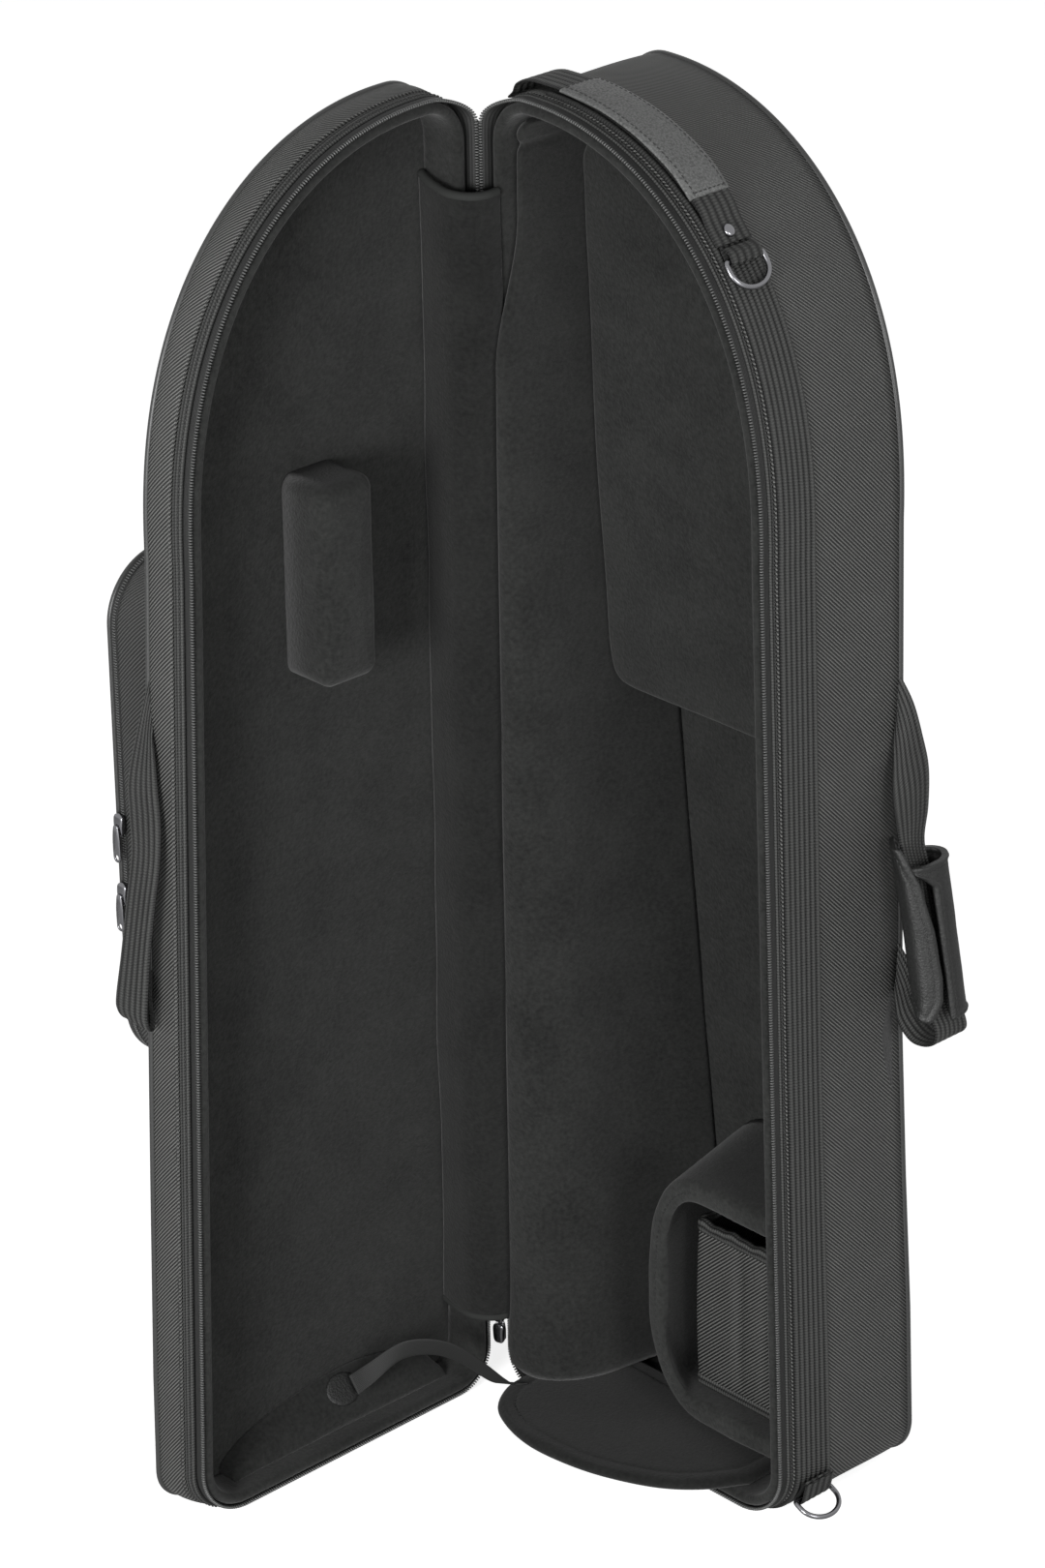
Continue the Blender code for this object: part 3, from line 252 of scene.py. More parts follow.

# %% [markdown]
# ## Cloths
# The shell is a coarse twill: fine ribs that climb across the cloth at an angle. A sine of (along +
# across) makes the ribs, and a second sine the other way breaks them into yarns. The rib crests are
# painted light and the furrows between them painted with shade, and the pocket's wall takes a darker
# copy of the twill, painted shade. The lining is a short velour, which has no weave at all: its look
# is a soft mottle and a pale sheen at a glancing angle. A darker copy of it is painted shade and a
# lighter copy painted light. Webbing shows a fine cross weave on top of ribs that are real geometry,
# with painted shade in the furrows between the ribs.

# %% Twill, velour and webbing
TWILL_PITCH, TWILL_RELIEF, TWILL_FURROW, TWILL_CONTRAST = 0.0029, 0.00045, 0.42, 3.2
# TWILL_LOW is the painted shade of the furrows and TWILL_HIGH the painted light of the rib crests.
TWILL_LOW = (0.0030, 0.0031, 0.0030)
TWILL_HIGH = (0.099, 0.100, 0.096)
VELOUR_LOW = (0.0058, 0.0061, 0.0058)
VELOUR_HIGH = (0.0195, 0.0202, 0.0192)
VELOUR_RELIEF, WEBBING_RELIEF, TAPE_RELIEF, LEATHER_RELIEF = 0.0007, 0.0008, 0.0002, 0.0004


def make_twill(name, slant, low=TWILL_LOW, high=TWILL_HIGH):
    """slant = 1 lets the ribs fall as the wall goes deeper, and -1 lets them rise."""
    cloth = Recipe(name, (0.035, 0.036, 0.035), 0.58, Specular_IOR_Level=0.35)
    along, across = cloth.uv()
    ribs = (along + slant * across).wave(TWILL_PITCH)
    yarns = (along - slant * across).wave(TWILL_PITCH * 0.5)
    height = ribs * (0.88 + 0.12 * yarns)
    worn = cloth.noise(45.0, 4.0)
    # Painted light and shade: the rib crests are painted light and the furrows between the ribs painted
    # dark.
    lit = ((height - TWILL_FURROW) * TWILL_CONTRAST).maths("MAXIMUM", 0.0).maths("MINIMUM", 1.0)
    share = lit + (worn - 0.5) * 0.22
    cloth.feed("Base Color", cloth.mix(share, low, high))
    cloth.bump(height, TWILL_RELIEF, 1.0)
    return cloth.material


def make_velour(name, tone=1.0):
    """Short pile: a coarse and a fine mottle, and a pale sheen. tone scales its colour: below one it paints
    shade, above one it paints light.
    """
    cloth = Recipe(name, (0.02, 0.021, 0.02), 0.95, Specular_IOR_Level=0.15)
    cloth.shader.inputs["Sheen Weight"].default_value = 0.10
    cloth.shader.inputs["Sheen Roughness"].default_value = 0.55
    mottle = cloth.noise(24.0, 5.0) * 0.40 + cloth.noise(330.0, 2.0) * 0.60
    low, high = ([tone * v for v in colour] for colour in (VELOUR_LOW, VELOUR_HIGH))
    cloth.feed("Base Color", cloth.mix((mottle - 0.30) * 2.5, low, high))
    cloth.bump(cloth.noise(500.0, 3.0), VELOUR_RELIEF, 0.7)
    return cloth.material


def make_webbing(name, ribs_per_metre):
    """Painted shade: the furrows between the ribs are painted dark by |sin| of the place across; short yarns
    run along each rib.
    """
    cloth = Recipe(name, (0.025, 0.026, 0.025), 0.62, Specular_IOR_Level=0.3)
    along, across = cloth.uv()
    phase = (across * (math.pi * ribs_per_metre)).maths("SINE").maths("ABSOLUTE")
    odd = (across * (0.5 * ribs_per_metre)).maths("FRACT").maths("GREATER_THAN", 0.5)
    yarns = (along + odd * 0.0010).wave(0.0021)
    # The dark colour in the furrows is painted shade between the ribs.
    share = (phase ** 1.7) * (0.55 + 0.45 * yarns) + (cloth.noise(60.0) - 0.5) * 0.15
    cloth.feed("Base Color", cloth.mix(share, (0.0016, 0.0017, 0.0016), (0.056, 0.057, 0.055)))
    cloth.bump((phase ** 0.7) * 0.6 + yarns * 0.4, WEBBING_RELIEF, 1.0)
    return cloth.material


def make_tape():
    """The plain weave beside the teeth: fine yarns across, broken along."""
    cloth = Recipe("zip_tape_cloth", (0.014, 0.0145, 0.014), 0.62, Specular_IOR_Level=0.3)
    along, across = cloth.uv()
    yarns = across.wave(0.0011) * (0.6 + 0.4 * along.wave(0.0014))
    cloth.feed("Base Color", cloth.mix(yarns, (0.0035, 0.0036, 0.0035), (0.016, 0.0165, 0.016)))
    cloth.bump(yarns, TAPE_RELIEF, 0.6)
    return cloth.material


twill = make_twill("twill_cloth", 1.0)
twill_back = make_twill("twill_cloth_rising", -1.0)
# Painted shade: a darker copy of the twill for the pocket's wall.
pocket_twill_painted_shade = make_twill("painted_shade_twill_cloth", 1.0, (0.0020, 0.0021, 0.0020), (0.050, 0.051, 0.049))
velour = make_velour("velour_lining")
# Painted shade: a darker copy of the velour for the end flap and the spine panel.
velour_painted_shade = make_velour("velour_painted_shade", 0.62)
# Painted light: a lighter copy of the velour for the collar.
velour_painted_light = make_velour("velour_painted_light", 1.3)
band_webbing = make_webbing("band_webbing", 7 / 0.033)
facing_webbing = make_webbing("facing_webbing", 2 / 0.0056)
wide_webbing = make_webbing("wide_facing_webbing", 3 / 0.0100)
loop_webbing = make_webbing("loop_webbing", 6 / 0.033)
strap_webbing = make_webbing("strap_webbing", 5 / 0.0295)
tape = make_tape()
print("cloths", [m.name for m in (twill, velour, band_webbing, tape)])

# %% [markdown]
# ## Leather, cord and metal
# The sleeve and the grip are leather with a small round grain: a Voronoi pattern gives the cells
# and a fine noise breaks them. The sleeve's copy of the leather is painted much lighter: painted light
# on the top of the case. The piping is a smooth cord, the teeth are moulded plastic, and the rings,
# sliders, pulls and rivet have a dark nickel plate.

# %% Leather, cord and metal
GRAIN_PER_METRE = 720.0


def make_leather(name, low, high):
    """Small round cells broken by a finer noise; the furrows take the low colour."""
    hide = Recipe(name, high, 0.46, Specular_IOR_Level=0.35)
    put = {"Vector": hide.node("ShaderNodeTexCoord", {}, {}, "Object"), "Scale": GRAIN_PER_METRE}
    cells = hide.node("ShaderNodeTexVoronoi", {"feature": "F1"}, put, "Distance")
    grain = cells * 0.75 + hide.noise(900.0, 2.0) * 0.25
    hide.feed("Base Color", hide.mix(grain * 0.9 + hide.noise(40.0) * 0.35, high, low))
    hide.feed("Roughness", grain * 0.25 + 0.38)
    hide.bump(grain, LEATHER_RELIEF, 0.7)
    return hide.material


def make_plain(name, colour, roughness, **constants):
    """A finish of one colour."""
    return Recipe(name, colour, roughness, **constants).material


leather = make_leather("grained_leather", (0.0045, 0.0047, 0.0045), (0.021, 0.0215, 0.021))
# Painted light: the sleeve's leather is a much lighter copy of the grip's leather.
sleeve_leather_painted_light = make_leather("sleeve_leather_painted_light", (0.048, 0.0487, 0.048), (0.190, 0.193, 0.190))
velour_edge = make_plain("velour_edge", (0.020, 0.021, 0.020), 0.9, Specular_IOR_Level=0.2)
cord = make_plain("piping_cord", (0.026, 0.0265, 0.026), 0.40, Specular_IOR_Level=0.45)
thread = make_plain("sewing_thread", (0.012, 0.0122, 0.012), 0.5, Specular_IOR_Level=0.4)
moulded = make_plain("moulded_teeth", (0.055, 0.056, 0.055), 0.34, Specular_IOR_Level=0.6)
metal = make_plain("dark_nickel", (0.20, 0.20, 0.21), 0.24, Metallic=1.0)
print("finishes ready")

# %% [markdown]
# ## Meshes from grids
# Each skin is a grid of points P[i, j]. The grid may close on itself along i (a rim) and along j (a
# section), and open ends get a cap. One function turns it into a mesh with a UV map in metres,
# makes its faces point outwards by the sign of its volume, gives it a finish, says which solid it
# stands for, and lets it ride on its body.

# %% Grid to mesh
FLOOR_LINE = -0.0002
LESSON = bpy.data.collections.new("dressed_case")
bpy.context.scene.collection.children.link(LESSON)
MADE = {}


def lengths(P, axis):
    """Running length of a grid along one axis, the mean over the other, one entry longer to close it."""
    Q = np.moveaxis(P, axis, 0)
    steps = np.linalg.norm(np.roll(Q, -1, axis=0) - Q, axis=-1).mean(axis=1)
    return np.concatenate([[0.0], np.cumsum(steps)])


def grid_faces(n, m, wrap_i, wrap_j):
    """Corner indices and their (i, j) steps for the quads of an n by m grid."""
    i = np.arange(n if wrap_i else n - 1)
    j = np.arange(m if wrap_j else m - 1)
    I, J = [a.ravel() for a in np.meshgrid(i, j, indexing="ij")]
    ci = np.stack([I, I + 1, I + 1, I], axis=1)
    cj = np.stack([J, J, J + 1, J + 1], axis=1)
    return (ci % n) * m + cj % m, ci, cj


def volume_of(points, faces):
    """Six times the signed volume, each polygon cut into triangles from its first corner."""
    total = 0.0
    for k in range(1, faces.shape[1] - 1):
        a, b, c = points[faces[:, 0]], points[faces[:, k]], points[faces[:, k + 1]]
        total += np.einsum("ij,ij->i", a, np.cross(b, c)).sum()
    return total


def write_mesh(name, points, loops, totals, smooth, uv=None):
    """A mesh from points of the hinge frame, the corners of its polygons and how many each has."""
    mesh = bpy.data.meshes.new(name)
    mesh.vertices.add(len(points))
    mesh.vertices.foreach_set("co", (points + HINGE).astype(np.float32).ravel())
    mesh.loops.add(len(loops))
    mesh.loops.foreach_set("vertex_index", loops.astype(np.int32))
    mesh.polygons.add(len(totals))
    starts = np.concatenate([[0], np.cumsum(totals)[:-1]])
    mesh.polygons.foreach_set("loop_start", starts.astype(np.int32))
    mesh.polygons.foreach_set("loop_total", totals.astype(np.int32))
    mesh.polygons.foreach_set("use_smooth", smooth)
    mesh.update(calc_edges=True)
    if uv is not None:
        mesh.uv_layers.new(name="UVMap").data.foreach_set("uv", uv.astype(np.float32).ravel())
    mesh.validate()
    return mesh


def skin(name, P, body, finish, stands_for=(), wrap=(False, True), flat_uv=None, across=None):
    """A closed mesh from the grid P, in the hinge frame, riding on a body.

    wrap says whether the grid closes along i and along j. An open end is capped by one polygon.
    flat_uv = (a, b) takes the UV map from two coordinates instead of the running lengths, and
    across gives the second coordinate along the section where ribs must line up. Nothing goes
    below the floor line.
    """
    P = np.concatenate([P[..., :2], np.maximum(P[..., 2:], FLOOR_LINE)], axis=-1)
    n, m = P.shape[:2]
    flat = P.reshape(-1, 3)
    faces, ci, cj = grid_faces(n, m, *wrap)
    if flat_uv is None:
        along = lengths(P, 0)
        across = lengths(P, 1) if across is None else across
        uv = np.stack([along[ci], across[cj]], axis=-1).reshape(-1, 2)
    else:
        uv = flat[faces][..., list(flat_uv)].reshape(-1, 2)
    caps = []
    if not wrap[0]:
        caps = [np.arange(m), (n - 1) * m + np.arange(m)[::-1]]
    if not wrap[1]:
        caps = [(np.arange(n) * m)[::-1], np.arange(n) * m + m - 1]
    size = len(caps[0]) if caps else 0
    centred = flat - flat.mean(axis=0)
    signed = volume_of(centred, faces) + sum(volume_of(centred, cap[None]) for cap in caps)
    loops = np.concatenate([faces.ravel(), *caps])
    uv = np.concatenate([uv, *(flat[cap][:, list(flat_uv or (0, 1))] for cap in caps)])
    totals = np.concatenate([np.full(len(faces), 4), np.full(len(caps), size)]).astype(int)
    if signed < 0:
        quads = np.arange(len(faces) * 4).reshape(-1, 4)[:, ::-1].ravel()
        ends = (len(faces) * 4 + np.arange(len(caps) * size).reshape(len(caps), size)[:, ::-1]).ravel()
        back = np.concatenate([quads, ends]).astype(int)
        loops = loops[back]
        uv = uv[back]
    smooth = np.arange(len(totals)) < (len(faces) if wrap[1] else len(totals))
    return wear(name, write_mesh(name, flat, loops, totals, smooth, uv), body, finish, stands_for)


def wear(name, mesh, body, finish, stands_for=()):
    """Puts a finished mesh into the scene, with its finish, its body and the solids it hides."""
    obj = bpy.data.objects.new(name, mesh)
    LESSON.objects.link(obj)
    mesh.materials.append(finish)
    if stands_for:
        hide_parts(*stands_for)
    if isinstance(body, str):
        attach(obj, body)
    else:
        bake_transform(obj)
    MADE[name] = len(mesh.polygons)
    return obj


print("grid maker ready")

# %% [markdown]
# ## Paths, tubes and sheets
# Round piping, rings and ribbons all follow a path. A path is smoothed through a few given
# points, read at even steps, and carries a section: a circle for a tube, a flat rounded oblong for
# a sheet. Sheets are made from their middle surface, moved half their thickness both ways along
# its normals.

# %% Paths
def spline(points, steps=12, closed=False):
    """A Catmull-Rom curve through points of any number of coordinates."""
    p = np.array(points, float)
    if closed:
        p = np.vstack([p[-1:], p, p[:2]])
    else:
        p = np.vstack([2 * p[0] - p[1], p, 2 * p[-1] - p[-2]])
    t = np.linspace(0, 1, steps, endpoint=False)[None, :, None]
    a, b, c, d = (p[k: len(p) - 3 + k][:, None] for k in range(4))
    square, cube = 2 * a - 5 * b + 4 * c - d, 3 * b - a - 3 * c + d
    curve = 0.5 * (2 * b + (c - a) * t + square * t**2 + cube * t**3)
    curve = curve.reshape(-1, p.shape[1])
    return curve if closed else np.vstack([curve, p[-2]])


def even(path, count=None, step=None, closed=False):
    """A path read again at even steps along its first three coordinates."""
    q = np.vstack([path, path[:1]]) if closed else np.asarray(path)
    run = np.concatenate([[0], np.cumsum(np.linalg.norm(np.diff(q[:, :3], axis=0), axis=1))])
    if count is None:
        count = max(2, int(round(run[-1] / step)) + (0 if closed else 1))
    marks = np.linspace(0, run[-1], count, endpoint=not closed)
    return np.stack([np.interp(marks, run, q[:, k]) for k in range(q.shape[1])], axis=1)


def heading(path, closed=False):
    """Unit directions along a path, by central differences."""
    if closed:
        return unit(np.roll(path, -1, axis=0) - np.roll(path, 1, axis=0))
    return unit(np.gradient(path, axis=0))


def tube_grid(path, radius, sides=10, closed=False, up=UP):
    """A circle of a radius carried along a path, square to it, with its zero towards up."""
    along = heading(path, closed)
    side = unit(np.cross(along, up))
    top = np.cross(side, along)
    angle = np.linspace(0, 2 * np.pi, sides, endpoint=False)
    r = np.asarray(radius, float).reshape(-1, 1, 1) if np.ndim(radius) else radius
    ring = np.cos(angle)[None, :, None] * top[:, None] + np.sin(angle)[None, :, None] * side[:, None]
    return path[:, None] + r * ring


def normals_of(P):
    """Unit normals of an open grid, from its two differences."""
    return unit(np.cross(np.gradient(P, axis=0), np.gradient(P, axis=1)))


def thick(P, thickness, edge=4):
    """A closed section grid round an open sheet P[i, j]: front, rounded edge, back, rounded edge.

    A point at j goes thickness / 2 along the normal, and the edges turn through a half circle.
    """
    N = normals_of(P)
    half = np.asarray(thickness, float) / 2
    if np.ndim(half):
        half = half[..., None]
    ahead = unit(P[:, -1] - P[:, -2])
    behind = unit(P[:, 0] - P[:, 1])
    angle = np.linspace(0, np.pi, edge + 2)[1:-1]
    h1 = half[:, -1] if np.ndim(half) == 3 else half
    h0 = half[:, 0] if np.ndim(half) == 3 else half
    turn1 = [P[:, -1] + h1 * (np.cos(a) * N[:, -1] + np.sin(a) * ahead) for a in angle]
    turn0 = [P[:, 0] + h0 * (-np.cos(a) * N[:, 0] + np.sin(a) * behind) for a in angle]
    rows = [P + half * N, np.stack(turn1, axis=1), (P - half * N)[:, ::-1], np.stack(turn0, axis=1)]
    return np.concatenate(rows, axis=1)


def ripple(P, size, amount, seed, count=7):
    """A gentle unevenness: the mean of sines with seeded directions and wavelengths near size."""
    rng = np.random.default_rng(seed)
    total = np.zeros(P.shape[:-1])
    for _ in range(count):
        way = unit(rng.normal(size=3)) * (2 * np.pi / (size * rng.uniform(0.6, 1.6)))
        total += np.sin(P @ way + rng.uniform(0, 2 * np.pi))
    return amount * total / math.sqrt(count)


print("path tools ready")

# %% [markdown]
# ## The outline
# Seen from the side the case is a tall dome: a flat foot with round corners, a free edge that leans
# in by about two centimetres, and a quarter oval over the top. Both halves share it at the zip. At
# the broad sides the cloth pulls the foot's corners squarer, so there are three outlines with the
# same count of points, and a wall runs from one to the other.

# %% Outline
HEIGHT = 0.95
FOOT_WIDTH = 0.2735
SHOULDER_WIDTH = 0.2505
SHOULDER_HEIGHT = 0.69
DOME_PEAK_U = 0.045
DOME_ACROSS, DOME_UP = 2.05, 2.4
SPINE_TOP_RADIUS, SPINE_FOOT_RADIUS, FREE_FOOT_RADIUS = 0.035, 0.03, 0.04
HINGE_GAP = 0.006
BASE_DEPTH, LID_DEPTH = 0.129, 0.0445
BOARD, PADDING, FIT = 0.004, 0.0075, 0.0003
INNER = BOARD + PADDING + FIT
RIM_COUNT = 760
BASE_BACK_FOOT, LID_BACK_FOOT = 0.031, 0.027
BASE_SWELL = ([0.02, 0.12, 0.22, 0.33, 0.5, 0.7], [0, -0.0005, -0.0035, -0.0055, -0.003, 0])
LID_SWELL = ([0.03, 0.1, 0.45, 0.7], [0.002, 0.003, 0.002, 0])
LID_FULLNESS = 0.0025
SIDE_CENTRE = np.array([0.13, 0.45])


def width_at(z):
    """Distance of the leaning free edge from the spine."""
    share = np.clip((z - FREE_FOOT_RADIUS) / (SHOULDER_HEIGHT - FREE_FOOT_RADIUS), 0, 1)
    return FOOT_WIDTH + (SHOULDER_WIDTH - FOOT_WIDTH) * share


def arc(centre, radius, start, end, count=120):
    """Points on a circle from one angle to another, in degrees."""
    a = np.radians(np.linspace(start, end, count))
    return np.stack([centre[0] + radius * np.cos(a), centre[1] + radius * np.sin(a)], axis=1)


def line(start, end, count=200):
    """Points on a straight line, both ends included."""
    t = np.linspace(0, 1, count)[:, None]
    return (1 - t) * np.array(start) + t * np.array(end)


def dense_outline(foot_radius):
    """Foot of the spine, floor, free foot, free edge, dome, top of the spine and the spine itself."""
    spine_foot = arc((HINGE_GAP + SPINE_FOOT_RADIUS, SPINE_FOOT_RADIUS), SPINE_FOOT_RADIUS, 180, 270)
    free_foot = arc((FOOT_WIDTH - foot_radius, foot_radius), foot_radius, 270, 360)
    top = arc((HINGE_GAP + SPINE_TOP_RADIUS, HEIGHT - SPINE_TOP_RADIUS), SPINE_TOP_RADIUS, 90, 180)
    a = np.linspace(0, np.pi / 2, 600)
    over = np.stack([
        DOME_PEAK_U + (SHOULDER_WIDTH - DOME_PEAK_U) * np.cos(a).clip(0) ** (2 / DOME_ACROSS),
        SHOULDER_HEIGHT + (HEIGHT - SHOULDER_HEIGHT) * np.sin(a) ** (2 / DOME_UP)], axis=1)
    parts = [spine_foot, line(spine_foot[-1], free_foot[0]), free_foot, line(free_foot[-1], over[0], 400),
        over, top]
    parts.append(line(top[-1], spine_foot[0], 500))
    return np.concatenate([p[:-1] for p in parts])


def read_outline(dense, marks):
    """A dense closed outline read at fractional indices."""
    q = np.vstack([dense, dense[:1]])
    at = np.arange(len(q))
    return np.stack([np.interp(marks, at, q[:, k]) for k in (0, 1)], axis=1)


def back_outline(foot_radius, swell):
    """The outline at a broad side; swell gives heights and how far its free edge stands out there."""
    q = read_outline(dense_outline(foot_radius), MARKS)
    q[:, 0] += np.interp(q[:, 1], *swell) * ease((q[:, 0] - 0.1) / 0.1)
    return q


front_dense = dense_outline(FREE_FOOT_RADIUS)
steps = np.linalg.norm(np.roll(front_dense, -1, axis=0) - front_dense, axis=1)
run = np.concatenate([[0], np.cumsum(steps)])
MARKS = np.interp(np.linspace(0, run[-1], RIM_COUNT, endpoint=False), run, np.arange(len(run)))
RIM = read_outline(front_dense, MARKS)
BASE_BACK = back_outline(BASE_BACK_FOOT, BASE_SWELL)
LID_BACK = back_outline(LID_BACK_FOOT, LID_SWELL)
print("outline", RIM_COUNT, "points,", round(run[-1], 3), "m round")


def inward(q):
    """Unit normals into a closed outline that runs anticlockwise."""
    t = heading(q, closed=True)
    return np.stack([-t[:, 1], t[:, 0]], axis=1)


def wall_points(half, back, depth, D, S):
    """Points at inward distances D and depths S (each [i, j] or [j]) on a wall from rim to back outline."""
    D = np.broadcast_to(D, (len(RIM), np.shape(D)[-1]))
    S = np.broadcast_to(S, (len(RIM), np.shape(S)[-1]))
    k = np.clip(S / depth, 0, 1)[..., None]
    q = (1 - k) * RIM[:, None] + k * back[:, None]
    n = (1 - k) * inward(RIM)[:, None] + k * inward(back)[:, None]
    q = q + D[..., None] * n
    return half(q[..., 0], S, q[..., 1])


# %% [markdown]
# ## Walls of the two shells
# Each shell has a twill wall, a broad twill side and a piped seam where they meet. A wall is one
# grid: i runs round the outline and j round the wall's section, so the outer face, the seam edge
# and the inner face are one closed skin. The outer face bellies out by a millimetre between its
# sewn edges and has a slight unevenness, as cloth over board does. An easier way would be to
# extrude the outline, but then the cloth would look like card.

# %% Gussets
WALL_STEPS = 15
WALL_BELLY, SEAM_SET = 0.0012, 0.0042
BASE_WALL_START, LID_WALL_START = 0.0125, 0.0190


def section_wall(near, far, start, end, belly, steps=WALL_STEPS):
    """Closed section (D, S) and the count of its outer face: belly, edge, inner face, edge."""
    t = np.linspace(0, 1, steps)
    outer_s = start + (end - start) * t
    outer_d = near - belly * np.sin(np.pi * t) ** 0.8
    return np.concatenate([outer_d, [far, far]]), np.concatenate([outer_s, [end, start]]), steps


def between_seams(count):
    """Nothing at the two sewn edges of a face, and one in its middle."""
    return np.sin(np.pi * np.linspace(0, 1, count)) ** 0.5


def lid_swell(P):
    """The lid's cloth stands a little deeper towards its foot: s grows by up to 2.5 mm at the broad side."""
    s = -P[..., 0]
    P = P.copy()
    deep = np.clip((s - 0.02) / (LID_DEPTH - 0.02), 0, 1)
    P[..., 0] -= LID_FULLNESS * ease((0.72 - P[..., 2]) / 0.5) * deep
    return P


def gusset(name, half, back, depth, start, body, swell=None):
    """The twill wall of a half, from its facing band to the seam."""
    D, S, outer = section_wall(0.0, BOARD, start, depth - SEAM_SET, WALL_BELLY)
    D = np.tile(D, (RIM_COUNT, 1))
    S = np.tile(S, (RIM_COUNT, 1))
    P = wall_points(half, back, depth, D, S)
    D[:, :outer] -= ripple(P[:, :outer], 0.11, 0.00045, 3) * between_seams(outer)
    P = wall_points(half, back, depth, D, S)
    if swell:
        P = swell(P)
    return skin(name, P, body, twill, [name.replace("_wall_skin", "_gusset")], wrap=(True, True))


gusset("base_wall_skin", on_base, BASE_BACK, BASE_DEPTH, BASE_WALL_START, "base")
gusset("lid_wall_skin", on_lid, LID_BACK, LID_DEPTH, LID_WALL_START, "lid", lid_swell)
print("gussets", MADE)

# %% [markdown]
# ## Broad sides and piping
# A broad side is a flat pad with a round edge. Its grid runs round the outline and, along j, from a
# small ring in the middle of the outer face out over the edge and back to the middle of the inner
# face, so it needs no pole. The piping is a tube along the same seam.

# %% Broad sides
SIDE_SEAM, SIDE_EDGE, SIDE_CROWN = 0.0046, 0.0015, 0.0030


def pad_over(outline, centre, levels, place):
    """Rings of an outline drawn in towards a centre.

    levels are (share, inset, s): a ring's point is centre + share (q - centre), moved inwards by
    inset, at depth s.
    """
    n = inward(outline)
    rings = []
    for share, inset, s in levels:
        q = centre + share * (outline - centre) + inset * n * share
        rings.append(place(q[:, 0], s if np.ndim(s) else np.full(len(q), s), q[:, 1]))
    return np.stack(rings, axis=1)


def round_levels(face, back, radius, crown=0.0, steps=5, inner=(0.02, 0.2, 0.4, 0.6, 0.8, 0.93)):
    """Levels for a pad: a crowned face, an edge of a radius, and a plain back; face and back are depths."""
    way = np.sign(back - face)
    out = [(share, radius, face - way * crown * (1 - share**2)) for share in inner]
    for a in np.linspace(0, np.pi / 2, steps):
        out.append((1.0, radius * (1 - math.sin(a)), face + way * radius * (1 - math.cos(a))))
    out.append((1.0, 0.0, back))
    return out + [(share, 0.0, back) for share in (0.7, 0.02)]


def broad_side(name, half, outline, depth, body, swell=None, flat_uv=(0, 2)):
    """The broad twill side of a half, drawn in a little from the seam."""
    seam = outline + SIDE_SEAM * inward(outline)
    levels = round_levels(depth + 0.0002, depth - BOARD, SIDE_EDGE, SIDE_CROWN)
    P = pad_over(seam, SIDE_CENTRE, levels, half)
    axis, way = (1, 1) if half is on_base else (0, -1)
    outside = np.abs(P[..., axis] - way * depth) < 0.004
    P[..., axis] += way * ripple(P, 0.20, 0.0008, 11) * outside
    if swell:
        P = swell(P)
    return skin(name, P, body, twill, [name.replace("_side_skin", "_panel")], wrap=(True, False),
        flat_uv=flat_uv)


PIPE = 0.0024
PIPE_PROUD = 0.0013


def seam_piping(name, half, outline, depth, body, swell=None):
    """The cord in the seam between the wall and the broad side; a part of it stands proud."""
    q = outline + (PIPE - PIPE_PROUD) * inward(outline)
    path = half(q[:, 0], np.full(len(q), depth - 0.0024), q[:, 1])
    if swell:
        path = swell(path)
    axis = np.array([0.0, 1.0, 0.0]) if half is on_base else np.array([1.0, 0.0, 0.0])
    P = tube_grid(path, PIPE, 10, True, axis)
    return skin(name, P, body, cord, [name.replace("_seam", "_piping")], wrap=(True, True))


def thin_out(outline, every=3):
    """Every third point, enough for a smooth seam."""
    return outline[::every]


broad_side("base_side_skin", on_base, thin_out(BASE_BACK), BASE_DEPTH, "base")
broad_side("lid_side_skin", on_lid, thin_out(LID_BACK), LID_DEPTH, "lid", lid_swell, (1, 2))
seam_piping("base_seam", on_base, BASE_BACK, BASE_DEPTH, "base")
seam_piping("lid_seam", on_lid, LID_BACK, LID_DEPTH, "lid", lid_swell)

# %% [markdown]
# ## Bands beside the zip
# Between the teeth and the twill run a woven tape, a groove and a folded facing band with a row of
# stitches. They are walls with a low section each, and the groove is simply the step between them.

# %% Facings
def low_band(name, half, back, depth, start, end, height, body, finish, stands_for, ribs=2):
    """A band whose outer face rises to a soft crown of a height."""
    t = np.linspace(0, 1, 6 * ribs + 1)
    furrow = 0.0006 * (1 - np.abs(np.sin(np.pi * ribs * t)) ** 0.6)
    D = np.concatenate([0.0017 - height * np.sin(np.pi * t) ** 0.45 + furrow, [0.0037, 0.0037]])
    S = np.concatenate([start + (end - start) * t, [end, start]])
    P = wall_points(half, back, depth, D, S)
    place = (end - start) * np.concatenate([t, [1, 0, 0]])
    return skin(name, P, body, finish, stands_for, wrap=(True, True), across=place)


low_band("base_facing_band", on_base, BASE_BACK, BASE_DEPTH, 0.0070, 0.0124, 0.0014, "base",
    facing_webbing, ["base_zip_facing"])
low_band("lid_facing_band", on_lid, LID_BACK, LID_DEPTH, 0.0086, 0.0184, 0.0015, "lid", wide_webbing,
    ["lid_zip_facing"], 3)

# %% [markdown]
# ## Stitches
# A stitch is a short plump dash of thread. One small capsule of fourteen points is copied along a
# path by numpy: its long axis follows the path and its middle sits on the cloth.

# %% Stitch maker
STITCH_PITCH = 0.0034
STITCH_LENGTH = 0.0024
STITCH_WIDTH = 0.00075
LEATHER_STITCH = {"pitch": 0.0042, "length": 0.0028}
SEAM_SINK = 0.0010


